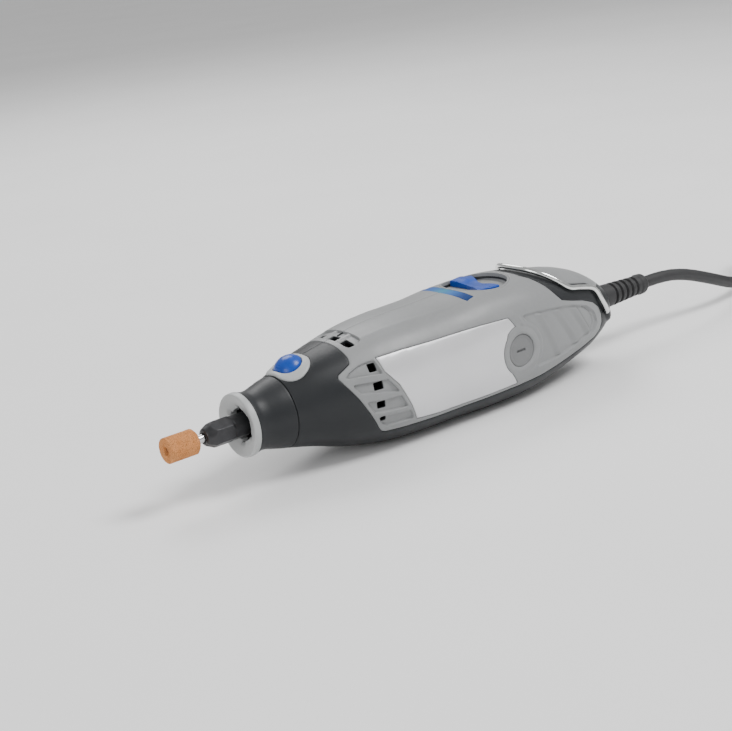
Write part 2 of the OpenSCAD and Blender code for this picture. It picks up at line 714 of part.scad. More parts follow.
module tube(P, r, sides) {
    n = len(P);
    T = [for (i = [0:n - 1]) unit(P[min(i + 1, n - 1)] - P[max(i - 1, 0)])];
    up = abs(T[0][2]) < 0.8 ? [0, 0, 1] : [1, 0, 0];
    N = carried(T, [unit(up - (up * T[0]) * T[0])]);
    pts = [for (i = [0:n - 1], k = [0:sides - 1]) let (a = 360 * k / sides)
        P[i] + r * (cos(a) * N[i] + sin(a) * cross(T[i], N[i]))];
    walls = [for (i = [0:n - 2], k = [0:sides - 1]) let (j = (k + 1) % sides, a = i * sides, b = a + sides)
        each [[a + k, b + k, b + j], [a + k, b + j, a + j]]];
    caps = [[for (k = [0:sides - 1]) k], [for (k = [sides - 1:-1:0]) (n - 1) * sides + k]];
    polyhedron(pts, concat(walls, caps));
}

WIRE_OFF = wire_d / 2 + 0.5;
function arm_pt(x, z) = [x, -side_y(x, z) - WIRE_OFF, z];
function roof_pt(x, y) = [x, y, roof_z(x, y) + WIRE_OFF];
ARM = [arm_pt(PIVOT_X - 1.6, PIVOT_Z + 2.6), arm_pt(168.6, 6), arm_pt(166.3, 10.8), arm_pt(163.6, 12.9),
    arm_pt(157, 14.7), arm_pt(151, 16.2), roof_pt(146.4, -16.4), roof_pt(142.6, -13), roof_pt(139.4, -8),
    roof_pt(138.2, -3)];
module hanger() {
    bend = [PIVOT_X, -side_y(PIVOT_X, PIVOT_Z) - WIRE_OFF, PIVOT_Z];
    left = concat([bend], ARM);
    right = [for (i = [last(left):-1:0]) [left[i][0], -left[i][1], left[i][2]]];
    tube(smooth(concat(left, right), 3), wire_d / 2, 8);
    for (s = [-1, 1]) {
        translate([PIVOT_X, s * -bend[1], PIVOT_Z]) sphere(r = wire_d / 2 + 0.15, $fn = 24);
        out_cyl(s, PIVOT_X, PIVOT_Z, wire_d / 2, 13.4, -bend[1], 24);
    }
}

// Cord: straight out of the guard, down to the floor and into a tied hank, with the plug behind it
HANK_LIFT = 0.8;
HANK_TURNS = 3;           // inner turns on the way up; the outer turns go down again
OUTER_TURN = 26.6;
INNER_TURN = 21.2;
HANK_R0 = INNER_TURN - cord_d / 2;
HANK_R1 = OUTER_TURN + cord_d / 2;
hank_z0 = floor_z + HANK_LIFT;
hank_z1 = hank_z0 + cord_d + HANK_TURNS * hank_pitch;
cord_low = hank_z0 + cord_d / 2;
// Points of the run up to the hank: x, share of the drop, share of the way to the side
CORD_RUN = [[163, 0, 0], [176, 0, 0], [190, 0, 0], [202, 0, 0], [213, 0, 0], [222, 0.003, 0], [232, 0.045, 0],
    [242, 0.16, 0], [252, 0.33, 0], [262, 0.52, 0.03], [272, 0.71, 0.12], [282, 0.865, 0.27],
    [292, 0.965, 0.46], [302, 1, 0.65], [312, 1, 0.82], [322, 1, 0.945]];
module cord() {
    run = concat(CORD_RUN, [[hank_x, 1, 1]]);
    tube([for (p = run) [p[0], p[2] * INNER_TURN, p[1] * cord_low]], cord_d / 2, 12);
}

// A round-ended block about the hank's straight part
module hank_block(r, z0, z1) {
    for (x = [hank_x, hank_x + hank_len]) translate([x, 0, z0]) cylinder(r = r, h = z1 - z0, $fn = 48);
    translate([hank_x, -r, z0]) cube([hank_len, 2 * r, z1 - z0]);
}

module cord_hank() {
    difference() {
        hank_block(HANK_R1, hank_z0, hank_z1);
        hank_block(HANK_R0, hank_z0 - 1, hank_z1 + 1);
    }
}

TIE_X = hank_x + 30;
TIE_T = 0.7;
module cord_tie() {
    out_r = HANK_R1 + TIE_T;
    in_r = HANK_R1 + 0.02;
    difference() {
        translate([TIE_X - 5, -out_r, floor_z]) cube([10, 2 * out_r, hank_z1 + TIE_T - floor_z]);
        translate([TIE_X - 6, -in_r, hank_z0 - 0.02]) cube([12, 2 * in_r, hank_z1 - hank_z0 + 0.04]);
    }
}

PLUG_BACK = hank_x + hank_len + 52;
PLUG_LEN = 38;
PLUG_H = 26;
plug_y = 8;
plug_z = floor_z + PLUG_H / 2;
// Points from the last outer turn to the plug: x, share of the way to its middle, share of the rise
TAIL_RUN = [[0, 0, 0], [8, 0.04, 0], [16, 0.17, 0.03], [24, 0.38, 0.12], [32, 0.61, 0.3], [40, 0.82, 0.55],
    [48, 0.96, 0.84], [53, 1, 0.97], [57.5, 1, 1]];
module cord_tail() {
    tube([for (p = TAIL_RUN) [hank_x + hank_len + p[0], OUTER_TURN + p[1] * (plug_y - OUTER_TURN),
        cord_low + p[2] * (plug_z - cord_low)]], cord_d / 2, 12);
}

module at_plug() {
    translate([PLUG_BACK, plug_y, plug_z]) children();
}

PIN_ROOT = 1.9;           // radius of a pin inside the plug
module plug_body() {
    at_plug() difference() {
        intersection() {
            turned([[0, 0], [0, 4.2], [8, 5.4], [14, 9.5], [22, 15.6], [25, 17.4], [36.4, 17.6],
                [PLUG_LEN, 16.2], [PLUG_LEN, 0]], 48);
            translate([-1, -20, -PLUG_H / 2]) cube([PLUG_LEN + 2, 40, PLUG_H]);
        }
        turned([[-1, 0], [-1, cord_d / 2 + 0.02], [6, cord_d / 2 + 0.02], [6, 0]], 24);
        for (s = [-1, 1]) translate([0, s * plug_pitch / 2, 0])
            turned([[PLUG_LEN - 8, 0], [PLUG_LEN - 8, PIN_ROOT + 0.01], [PLUG_LEN + 1, PIN_ROOT + 0.01],
                [PLUG_LEN + 1, 0]], 24);
    }
}

module plug_pins() {
    r = plug_pin_d / 2;
    at_plug() for (s = [-1, 1]) translate([0, s * plug_pitch / 2, 0])
        turned([[PLUG_LEN - 7.9, 0], [PLUG_LEN - 7.9, PIN_ROOT], [PLUG_LEN + 0.3, PIN_ROOT],
            [PLUG_LEN + 0.3, r], [PLUG_LEN + plug_pin_len - 1.2, r],
            [PLUG_LEN + plug_pin_len, r - 1.2], [PLUG_LEN + plug_pin_len, 0]], 24);
}

DARK = [0.16, 0.17, 0.18];
GREY_C = [0.55, 0.55, 0.56];
STEEL = [0.72, 0.72, 0.74];
COPPER = [0.72, 0.42, 0.24];
BLUE = [0.08, 0.3, 0.66];

function wanted(name) = node == "all" || node == name;

translate([-x_mid, 0, axis_h]) {
    if (wanted("housing_left")) color(DARK) housing_half(-1);
    if (wanted("housing_right")) color(DARK) housing_half(1);
    if (wanted("cover_left")) color(GREY_C) cover(-1);
    if (wanted("cover_right")) color(GREY_C) cover(1);
    if (wanted("panel_left")) color([0.8, 0.8, 0.81]) panel(-1);
    if (wanted("panel_right")) color([0.8, 0.8, 0.81]) panel(1);
    if (wanted("tail_cap")) color(GREY_C) tail_cap();
    if (wanted("dial_seat")) color(GREY_C) dial_seat();
    if (wanted("speed_scale")) color(BLUE) speed_scale();
    if (wanted("lock_bezel")) color([0.75, 0.75, 0.74]) lock_bezel();
    if (wanted("nose_sleeve")) color(DARK) nose_sleeve();
    if (wanted("spindle_bearing_outers")) color(STEEL) for (b = SPINDLE_BEARINGS) outer_race(b[0], 5, 6.8, 8);
    if (wanted("spindle_bearing_balls")) color(STEEL) for (b = SPINDLE_BEARINGS) balls(b[0] + 2.5, 6, 0.85, 8);
    if (wanted("spindle_bearing_inners")) color(STEEL) for (b = SPINDLE_BEARINGS) ring(b[0], b[0] + 5, 4, 5.1);
    if (wanted("motor_bearing_outers")) color(STEEL) for (x = MOTOR_BEARINGS) outer_race(x, 4, 5.3, 6.5);
    if (wanted("motor_bearing_balls")) color(STEEL) for (x = MOTOR_BEARINGS) balls(x + 2, 4.5, 0.75, 7);
    if (wanted("motor_bearing_inners")) color(STEEL) for (x = MOTOR_BEARINGS) ring(x, x + 4, 2.55, 3.7);
    if (wanted("bearing_cushion")) color(DARK) bearing_cushion();
    if (wanted("field_core")) color(STEEL) field_core();
    if (wanted("field_coils")) color(COPPER) field_coils();
    if (wanted("brush_holder_left")) color([0.8, 0.65, 0.3]) brush_holder(-1);
    if (wanted("brush_holder_right")) color([0.8, 0.65, 0.3]) brush_holder(1);
    if (wanted("carbon_brush_left")) color([0.2, 0.2, 0.2]) carbon_brush(-1);
    if (wanted("carbon_brush_right")) color([0.2, 0.2, 0.2]) carbon_brush(1);
    if (wanted("brush_springs")) color(STEEL) brush_springs();
    if (wanted("brush_cap_left")) color(GREY_C) brush_cap(-1);
    if (wanted("brush_cap_right")) color(GREY_C) brush_cap(1);
    if (wanted("control_board")) color([0.1, 0.4, 0.2]) control_board();
    if (wanted("capacitor")) color([0.8, 0.7, 0.2]) capacitor();
    if (wanted("triac")) color(DARK) triac();
    if (wanted("dial_switch")) color(DARK) dial_switch();
    if (wanted("cord_clamp")) color(DARK) cord_clamp();
    if (wanted("clamp_screws")) color(STEEL) clamp_screws();
    if (wanted("cord_guard")) color(DARK) cord_guard();
    if (wanted("housing_screws")) color(STEEL) housing_screws();
    if (wanted("cord")) color(DARK) cord();
    if (wanted("cord_hank")) color(DARK) cord_hank();
    if (wanted("cord_tail")) color(DARK) cord_tail();
    if (wanted("cord_tie")) color([0.3, 0.3, 0.32]) cord_tie();
    if (wanted("plug_body")) color(DARK) plug_body();
    if (wanted("plug_pins")) color(STEEL) plug_pins();
    if (wanted("spindle")) color(STEEL) spindle();
    if (wanted("collet")) color(STEEL) collet();
    if (wanted("drive_coupling")) color(DARK) drive_coupling();
    if (wanted("motor_shaft")) color(STEEL) motor_shaft();
    if (wanted("cooling_fan")) color(DARK) cooling_fan();
    if (wanted("armature_core")) color(STEEL) armature_core();
    if (wanted("armature_windings")) color(COPPER) armature_windings();
    if (wanted("commutator")) color(COPPER) commutator();
    if (wanted("collet_nut")) color([0.3, 0.3, 0.32]) collet_nut();
    if (wanted("grinding_stone")) color([0.85, 0.55, 0.35]) grinding_stone();
    if (wanted("stone_mandrel")) color(STEEL) stone_mandrel();
    if (wanted("nose_cap")) color(DARK) nose_cap();
    if (wanted("nose_ring")) color([0.72, 0.72, 0.71]) nose_ring();
    if (wanted("lock_button")) color(BLUE) lock_button();
    if (wanted("lock_pin")) color(STEEL) lock_pin();
    if (wanted("lock_spring")) color(STEEL) lock_spring();
    if (wanted("speed_dial")) color(BLUE) speed_dial();
    if (wanted("hanger")) color(STEEL) hanger();
}
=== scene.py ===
"""Looks for a rotary hobby tool with a grinding stone in its collet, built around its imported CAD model."""

import json
import math

import bpy
import numpy as np
from mathutils import Matrix, Vector
from mathutils.geometry import delaunay_2d_cdt


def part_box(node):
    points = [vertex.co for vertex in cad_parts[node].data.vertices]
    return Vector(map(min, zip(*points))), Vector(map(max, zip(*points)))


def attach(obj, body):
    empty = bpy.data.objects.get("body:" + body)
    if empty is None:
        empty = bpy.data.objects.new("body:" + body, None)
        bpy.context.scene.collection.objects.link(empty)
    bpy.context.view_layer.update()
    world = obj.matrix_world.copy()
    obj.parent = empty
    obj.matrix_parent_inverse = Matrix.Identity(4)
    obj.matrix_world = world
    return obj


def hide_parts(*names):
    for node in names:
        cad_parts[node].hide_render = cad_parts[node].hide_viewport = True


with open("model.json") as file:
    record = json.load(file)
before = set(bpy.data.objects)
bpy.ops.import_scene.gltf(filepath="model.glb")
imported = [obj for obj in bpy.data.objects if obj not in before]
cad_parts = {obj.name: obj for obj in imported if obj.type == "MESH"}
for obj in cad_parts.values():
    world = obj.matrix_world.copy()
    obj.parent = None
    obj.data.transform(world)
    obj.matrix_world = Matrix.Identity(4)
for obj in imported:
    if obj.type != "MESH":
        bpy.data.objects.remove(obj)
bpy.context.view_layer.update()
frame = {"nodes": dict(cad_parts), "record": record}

# ---------------------------------------------------------------- places
# Shapes are worked out in millimetres, with x from the nose ring's front face and z from the axis.
MM = 0.001
ring_low, ring_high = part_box("nose_ring")
ORIGIN = np.array([ring_low.x, 0.0, (ring_low.z + ring_high.z) / 2])
GUARD_END = (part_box("cord_guard")[1].x - ORIGIN[0]) / MM
FLOOR = -ORIGIN[2] / MM
STONE_FRONT = (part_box("grinding_stone")[0].x - ORIGIN[0]) / MM


def place(points):
    """Tool millimetres as metres of the frame."""
    return np.asarray(points, float) * MM + ORIGIN


# ---------------------------------------------------------------- camera
CAMERA_TURN = math.radians(35.94)
CAMERA_RISE = math.radians(16.88)
CAMERA_ROLL = math.radians(-7.22)
CAMERA_AWAY = 614.1       # from the point that it looks at
CAMERA_TARGET = np.array([100.0, 0.0, 0.0])
CAMERA_SLIDE = (-31.8, -5.3)
LENS = 76.4


def make_camera():
    back = np.array([-math.sin(CAMERA_TURN) * math.cos(CAMERA_RISE),
                     -math.cos(CAMERA_TURN) * math.cos(CAMERA_RISE), math.sin(CAMERA_RISE)])
    level = np.array([math.cos(CAMERA_TURN), -math.sin(CAMERA_TURN), 0.0])
    upright = np.cross(back, level)
    right = level * math.cos(CAMERA_ROLL) + upright * math.sin(CAMERA_ROLL)
    up = upright * math.cos(CAMERA_ROLL) - level * math.sin(CAMERA_ROLL)
    spot = CAMERA_TARGET + CAMERA_AWAY * back + CAMERA_SLIDE[0] * right + CAMERA_SLIDE[1] * up
    camera = bpy.data.objects.new("camera", bpy.data.cameras.new("camera"))
    camera.data.lens = LENS
    camera.data.clip_start = 0.01
    matrix = Matrix.Identity(4)
    for i in range(3):
        matrix[i][0], matrix[i][1], matrix[i][2] = right[i], up[i], back[i]
        matrix[i][3] = place(spot)[i]
    camera.matrix_world = matrix
    bpy.context.scene.collection.objects.link(camera)
    bpy.context.scene.camera = camera


make_camera()


# ---------------------------------------------------------------- materials
class Nodes:
    """A short way to write a material's nodes."""

    def __init__(self, name):
        self.material = bpy.data.materials.new(name)
        self.material.use_nodes = True
        self.tree = self.material.node_tree
        self.tree.nodes.clear()
        self.output = self.tree.nodes.new("ShaderNodeOutputMaterial")
        self.shader = self.tree.nodes.new("ShaderNodeBsdfPrincipled")
        self.tree.links.new(self.shader.outputs[0], self.output.inputs[0])
        self.place = self.add("ShaderNodeTexCoord").outputs["Object"]

    def add(self, kind, **inputs):
        node = self.tree.nodes.new(kind)
        for key, value in inputs.items():
            self.put(node.inputs[key.replace("_", " ")], value)
        return node

    def put(self, socket, value):
        if isinstance(value, bpy.types.NodeSocket):
            self.tree.links.new(value, socket)
        else:
            socket.default_value = value

    def set(self, **inputs):
        for key, value in inputs.items():
            self.put(self.shader.inputs[key.replace("_", " ")], value)

    def stretched(self, scale):
        """The place, with each axis scaled on its own."""
        mapping = self.add("ShaderNodeMapping", Vector=self.place)
        mapping.inputs["Scale"].default_value = scale
        return mapping.outputs[0]

    def noise(self, size, detail=3.0, roughness=0.6, vector=None):
        """Noise whose features are about size millimetres across."""
        node = self.add("ShaderNodeTexNoise", Vector=vector or self.place, Scale=1000.0 / size, Detail=detail,
                        Roughness=roughness)
        return node.outputs["Fac"]

    def cells(self, size, feature="F1", vector=None):
        node = self.add("ShaderNodeTexVoronoi", Vector=vector or self.place, Scale=1000.0 / size)
        node.feature = feature
        return node.outputs["Distance"]

    def ramp(self, value, stops):
        node = self.add("ShaderNodeValToRGB", Fac=value)
        elements = node.color_ramp.elements
        for i, (at, colour) in enumerate(stops):
            element = elements[i] if i < 2 else elements.new(at)
            element.position = at
            element.color = tuple(colour) + (1.0,) if len(colour) == 3 else colour
        return node.outputs["Color"]

    def level(self, value, low, high, start=0.3, end=0.7):
        """value carried from start..end to low..high."""
        node = self.add("ShaderNodeMapRange", Value=value)
        node.inputs["From Min"].default_value = start
        node.inputs["From Max"].default_value = end
        node.inputs["To Min"].default_value = low
        node.inputs["To Max"].default_value = high
        return node.outputs[0]

    def maths(self, operation, a, b):
        node = self.tree.nodes.new("ShaderNodeMath")
        node.operation = operation
        self.put(node.inputs[0], a)
        self.put(node.inputs[1], b)
        return node.outputs[0]

    def mix(self, share, a, b):
        node = self.tree.nodes.new("ShaderNodeMix")
        node.data_type = "RGBA"
        self.put(node.inputs["Factor"], share)
        self.put(node.inputs["A"], tuple(a) + (1.0,) if isinstance(a, (tuple, list)) else a)
        self.put(node.inputs["B"], tuple(b) + (1.0,) if isinstance(b, (tuple, list)) else b)
        return node.outputs["Result"]

    def bump(self, height, depth, under=None):
        """A bump whose full height is depth millimetres."""
        node = self.add("ShaderNodeBump", Height=height, Distance=depth * MM, Strength=1.0)
        if under is not None:
            self.put(node.inputs["Normal"], under)
        return node.outputs[0]

    def edges(self):
        """1 where the surface turns outwards, 0 where it is flat or turns inwards."""
        return self.add("ShaderNodeNewGeometry").outputs["Pointiness"]


def scaled(colour, by):
    return tuple(c * by for c in colour)


def plastic(name, colour, roughness=0.42, grain=0.022, grain_size=0.5, wear=1.25, shine=0.4):
    """Moulded plastic: spark-eroded grain, faint flow marks and rubbed edges."""
    n = Nodes(name)
    flow = n.noise(38.0, 2.0)
    fine = n.noise(1.6, 4.0)
    base = n.mix(n.level(flow, 0.0, 1.0), scaled(colour, 0.93), scaled(colour, 1.06))
    base = n.mix(n.level(fine, 0.0, 0.25), base, scaled(colour, 1.18))
    rubbed = n.level(n.edges(), 0.0, 0.55, 0.52, 0.60)
    base = n.mix(rubbed, base, scaled(colour, wear))
    n.set(Base_Color=base, Roughness=n.level(n.noise(9.0, 3.0), roughness - 0.05, roughness + 0.07))
    n.set(Specular_IOR_Level=shine)
    dimples = n.cells(grain_size)
    n.set(Normal=n.bump(n.noise(grain_size * 0.7, 3.0), grain * 0.6, n.bump(dimples, grain)))
    return n.material


def silver_panel(name, colour):
    """Satin silver paint with a fine metallic flake and a few hairline scuffs."""
    n = Nodes(name)
    flake = n.cells(0.16)
    cloud = n.noise(26.0, 2.0)
    base = n.mix(n.level(cloud, 0.0, 1.0), scaled(colour, 0.95), scaled(colour, 1.04))
    base = n.mix(n.level(flake, 0.0, 0.3, 0.1, 0.6), base, scaled(colour, 1.15))
    scuff = n.noise(1.2, 2.0, vector=n.stretched((0.05, 1.0, 1.0)))
    n.set(Base_Color=base, Metallic=0.35, Specular_IOR_Level=0.5, Coat_Weight=0.15, Coat_Roughness=0.25)
    n.set(Roughness=n.maths("ADD", n.level(scuff, -0.03, 0.05), n.level(n.noise(12.0), 0.33, 0.41)))
    n.set(Normal=n.bump(n.noise(0.35, 2.0), 0.006, n.bump(scuff, 0.004)))
    return n.material


def glossy_blue(name, colour):
    """Blue plastic with a soft sheen, fine scratches and a slightly paler rubbed crest."""
    n = Nodes(name)
    base = n.mix(n.level(n.noise(6.0), 0.0, 1.0), scaled(colour, 0.85), scaled(colour, 1.1))
    base = n.mix(n.level(n.edges(), 0.0, 0.15, 0.54, 0.66), base, (0.03, 0.2, 0.62))
    scratch = n.noise(0.5, 2.0, vector=n.stretched((1.0, 0.08, 1.0)))
    n.set(Base_Color=base, Roughness=n.level(scratch, 0.26, 0.36), Specular_IOR_Level=0.4)
    n.set(Normal=n.bump(n.noise(0.6, 3.0), 0.003, n.bump(scratch, 0.001)))
    return n.material


def printed_band(name):
    """The speed scale: a blue printed band with a painted teal sheen at its middle, over the crown, and
    painted shade at its ends, where it turns down the sides.
    """
    n = Nodes(name)
    across = n.add("ShaderNodeSeparateXYZ", Vector=n.place).outputs["Y"]
    share = n.level(across, 0.0, 1.0, -14.2 * MM, 14.2 * MM)
    # Blue print with painted light: the teal middle is a painted sheen and the dark ends are painted shade.
    base = n.ramp(share, [(0.0, (0.004, 0.022, 0.11)), (0.5, (0.02, 0.19, 0.3)), (0.14, (0.004, 0.03, 0.16)),
                          (0.3, (0.012, 0.1, 0.34)), (0.72, (0.01, 0.085, 0.33)), (1.0, (0.006, 0.05, 0.25))])
    base = n.mix(n.level(n.noise(0.7), 0.0, 0.08), base, (0.03, 0.2, 0.45))
    n.set(Base_Color=base, Roughness=n.level(n.noise(3.0), 0.42, 0.54), Specular_IOR_Level=0.2)
    n.set(Normal=n.bump(n.noise(0.5, 3.0), 0.004))
    return n.material


def metal(name, colour, roughness, line_size, along=(1.0, 0.03, 0.03), hollow_dark=0.0, line_depth=0.006):
    """Machined metal: fine lines from the tool, uneven polish and a colour that is darker in hollows, fading
    out towards its edges.
    """
    n = Nodes(name)
    lines = n.noise(line_size, 2.0, vector=n.stretched(along))
    patch = n.noise(4.0, 4.0)
    base = n.mix(n.level(patch, 0.0, 1.0), scaled(colour, 0.88), scaled(colour, 1.08))
    # Darker where the surface turns inwards, by the given share, and not at all on outward edges.
    base = n.mix(n.level(n.edges(), hollow_dark, 0.0, 0.45, 0.54), base, scaled(colour, 0.35))
    n.set(Base_Color=base, Metallic=1.0)
    polish = n.level(patch, roughness - 0.03, roughness + 0.06)
    n.set(Roughness=n.maths("ADD", n.level(lines, -0.05, 0.06), polish))
    n.set(Normal=n.bump(lines, line_depth, n.bump(n.noise(0.4, 2.0), line_depth * 0.5)))
    return n.material


def dark_steel(name, colour):
    """Blackened steel with a patchy painted highlight along its edges."""
    n = Nodes(name)
    patch = n.noise(2.4, 5.0, 0.7)
    base = n.mix(n.level(patch, 0.0, 1.0), scaled(colour, 0.85), scaled(colour, 1.15))
    # Painted highlight: outward edges lightened to grey, in patches.
    edge_highlight = n.maths("MULTIPLY", n.level(n.edges(), 0.0, 1.0, 0.53, 0.62), n.level(patch, 0.3, 1.0))
    base = n.mix(edge_highlight, base, (0.2, 0.2, 0.2))
    n.set(Base_Color=base, Metallic=0.75, Specular_IOR_Level=0.4, Roughness=n.level(patch, 0.34, 0.44))
    n.set(Normal=n.bump(patch, 0.003, n.bump(n.noise(0.25, 2.0), 0.002)))
    return n.material


def rubber(name, colour):
    """Flexible black plastic: matt, with a fine skin texture and a greyish bloom."""
    n = Nodes(name)
    bloom = n.noise(7.0, 4.0)
    base = n.mix(n.level(bloom, 0.0, 1.0), colour, scaled(colour, 1.7))
    base = n.mix(n.level(n.edges(), 0.0, 0.4, 0.52, 0.6), base, scaled(colour, 3.0))
    n.set(Base_Color=base, Roughness=n.level(bloom, 0.5, 0.62), Specular_IOR_Level=0.4)
    n.set(Normal=n.bump(n.noise(0.45, 3.0), 0.02, n.bump(n.noise(0.12, 2.0), 0.006)))
    return n.material


def abrasive(name, colour):
    """Fired abrasive: packed grains of two tones with pores between them."""
    n = Nodes(name)
    grains = n.cells(0.32)
    tone = n.noise(0.4, 2.0)
    base = n.mix(n.level(tone, 0.0, 1.0, 0.35, 0.65), scaled(colour, 0.8), scaled(colour, 1.15))
    base = n.mix(n.level(n.noise(3.2, 3.0), 0.0, 0.5), base, (0.75, 0.36, 0.15))
    base = n.mix(n.level(grains, 0.0, 0.75, 0.45, 0.8), base, scaled(colour, 0.4))
    n.set(Base_Color=base, Roughness=n.level(tone, 0.8, 0.95), Specular_IOR_Level=0.2)
    n.set(Normal=n.bump(grains, 0.11, n.bump(n.noise(0.16, 2.0), 0.05)))
    return n.material


def windings(name, colour):
    """Enamelled wire laid in rows."""
    n = Nodes(name)
    rows = n.add("ShaderNodeTexWave", Vector=n.place, Scale=1000.0 / 0.9 / 6.3, Distortion=0.6)
    rows.bands_direction = "X"
    base = n.mix(rows.outputs["Fac"], scaled(colour, 0.45), scaled(colour, 1.15))
    n.set(Base_Color=base, Metallic=0.8, Roughness=n.level(n.noise(2.0), 0.25, 0.4))
    n.set(Normal=n.bump(rows.outputs["Fac"], 0.2))
    return n.material


def stacked_sheets(name, colour):
    """Edges of the motor's stacked steel sheets."""
    n = Nodes(name)
    rows = n.add("ShaderNodeTexWave", Vector=n.place, Scale=1000.0 / 0.5 / 6.3, Distortion=0.1)
    rows.bands_direction = "X"
    base = n.mix(rows.outputs["Fac"], scaled(colour, 0.4), colour)
    base = n.mix(n.level(n.noise(5.0, 4.0), 0.0, 0.5), base, (0.16, 0.08, 0.05))
    n.set(Base_Color=base, Metallic=0.8, Roughness=n.level(n.noise(1.0), 0.4, 0.6))
    n.set(Normal=n.bump(rows.outputs["Fac"], 0.06))
    return n.material


MATERIALS = {
    "housing": plastic("housing_plastic", (0.017, 0.0185, 0.0205), 0.42, 0.016, 0.45, 1.6, 0.28),
    "cover": plastic("cover_plastic", (0.235, 0.24, 0.243), 0.40, 0.014, 0.45, 1.12, 0.35),
    "panel": silver_panel("silver_panel", (0.64, 0.64, 0.655)),
    "cap_plastic": plastic("brush_cap_plastic", (0.165, 0.168, 0.17), 0.42, 0.014, 0.45, 1.15, 0.3),
    "pale_plastic": plastic("pale_plastic", (0.38, 0.39, 0.39), 0.40, 0.012, 0.4, 1.15, 0.35),
    "blue_plastic": glossy_blue("blue_plastic", (0.003, 0.055, 0.36)),
    "blue_print": printed_band("speed_band"),
    "insulator": plastic("insulator_plastic", (0.03, 0.03, 0.032), 0.45, 0.02, 0.5, 1.6),
    "pcb": plastic("circuit_board", (0.02, 0.13, 0.05), 0.35, 0.02, 0.8, 1.2),
    "film": plastic("capacitor_film", (0.55, 0.4, 0.07), 0.3, 0.01, 0.8, 1.1),
    "steel": metal("turned_steel", (0.62, 0.62, 0.63), 0.22, 0.25),
    "dark_steel": dark_steel("blackened_steel", (0.05, 0.05, 0.053)),
    "lamination": stacked_sheets("motor_sheets", (0.32, 0.32, 0.33)),
    "copper": windings("enamelled_copper", (0.62, 0.24, 0.09)),
    "commutator_copper": metal("turned_copper", (0.7, 0.38, 0.2), 0.28, 0.2, hollow_dark=0.4),
    "brass": metal("drawn_brass", (0.72, 0.52, 0.22), 0.3, 0.3, hollow_dark=0.3),
    "carbon": plastic("carbon_block", (0.02, 0.02, 0.021), 0.6, 0.03, 0.3, 1.5),
    "chrome": metal("bright_wire", (0.72, 0.73, 0.72), 0.13, 0.5, (0.1, 1.0, 1.0), 0.1, 0.002),
    "rubber": rubber("black_rubber", (0.018, 0.018, 0.019)),
    "stone": abrasive("pink_abrasive", (0.60, 0.235, 0.075)),
}


# ---------------------------------------------------------------- the body's surface
# Sections of the body: x, half width, height of the top, depth of the bottom, squareness
KNOTS = np.array([
    (17.8, 13.8, 13.8, 13.8, 2.0), (28, 17.2, 17.2, 16.2, 2.15), (40, 20.4, 19.7, 19.8, 2.3),
    (55, 23.0, 22.3, 22.7, 2.5), (70, 24.3, 23.4, 23.6, 2.6), (90, 24.7, 24.0, 23.9, 2.6),
    (108, 24.9, 25.1, 24.1, 2.8), (130, 24.4, 24.8, 23.2, 2.8), (150, 22.3, 21.9, 19.6, 2.6),
    (164, 19.9, 18.9, 16.0, 2.6), (171, 17.6, 15.6, 13.4, 2.5), (177, 14.6, 11.6, 10.8, 2.35),
    (181, 11.4, 8.6, 8.6, 2.2), (184, 7.8, 7.2, 7.2, 2.0)])
SEAM_X, BODY_END = KNOTS[0][0], KNOTS[-1][0]
first, final = np.maximum(np.arange(len(KNOTS)) - 1, 0), np.minimum(np.arange(len(KNOTS)) + 1, len(KNOTS) - 1)
SLOPES = (KNOTS[final] - KNOTS[first]) / (KNOTS[final, 0] - KNOTS[first, 0])[:, None]


def section(x):
    """Half width, half height, middle height and squareness of the body at x."""
    x = np.clip(np.asarray(x, float), SEAM_X, BODY_END)
    i = np.clip(np.searchsorted(KNOTS[:, 0], x, side="right") - 1, 0, len(KNOTS) - 2)
    h = KNOTS[i + 1, 0] - KNOTS[i, 0]
    t = (x - KNOTS[i, 0]) / h
    a, b = 2 * t ** 3 - 3 * t ** 2 + 1, t ** 3 - 2 * t ** 2 + t
    c, d = 3 * t ** 2 - 2 * t ** 3, t ** 3 - t ** 2
    wide, top, low, square = (KNOTS[i, k] * a + SLOPES[i, k] * h * b + KNOTS[i + 1, k] * c
                              + SLOPES[i + 1, k] * h * d for k in (1, 2, 3, 4))
    return wide, (top + low) / 2, (top - low) / 2, square


def roof(x, y):
    """Height of the body's top at a place."""
    wide, half, middle, square = section(x)
    return middle + half * np.clip(1 - np.abs(y / wide) ** square, 0, 1) ** (1 / square)


# A place on the surface is x and s, the way round the section from the top, left side positive.
GRID_X = np.arange(SEAM_X, BODY_END + 0.25, 0.5)
GRID_T = np.linspace(0, math.pi, 721)


def ring_point(x, t):
    """Height and distance to the side, for a turn t from the top."""
    wide, half, middle, square = section(x)
    e = 2 / square
    return wide * np.abs(np.sin(t)) ** e, middle + half * np.sign(np.cos(t)) * np.abs(np.cos(t)) ** e


def lengths_table():
    y, z = ring_point(GRID_X[:, None], GRID_T[None, :])
    step = np.hypot(np.diff(y, axis=1), np.diff(z, axis=1))
    run = np.concatenate([np.zeros((len(GRID_X), 1)), np.cumsum(step, axis=1)], axis=1)
    return run


RUN = lengths_table()
HALF_ROUND = RUN[:, -1]
SHARES = np.linspace(0, 1, 801)
TURN = np.array([np.interp(SHARES, row / row[-1], GRID_T) for row in RUN])


def half_round(x):
    """Way round the section from the top to the bottom."""
    return np.interp(x, GRID_X, HALF_ROUND)


def table_value(table, x, column):
    """A table's value between its rows and columns."""
    r = np.clip((np.asarray(x) - GRID_X[0]) / 0.5, 0, len(GRID_X) - 1.001)
    c = np.clip(column, 0, table.shape[1] - 1.001)
    i, j = r.astype(int), c.astype(int)
    u, v = r - i, c - j
    return ((table[i, j] * (1 - v) + table[i, j + 1] * v) * (1 - u)
            + (table[i + 1, j] * (1 - v) + table[i + 1, j + 1] * v) * u)


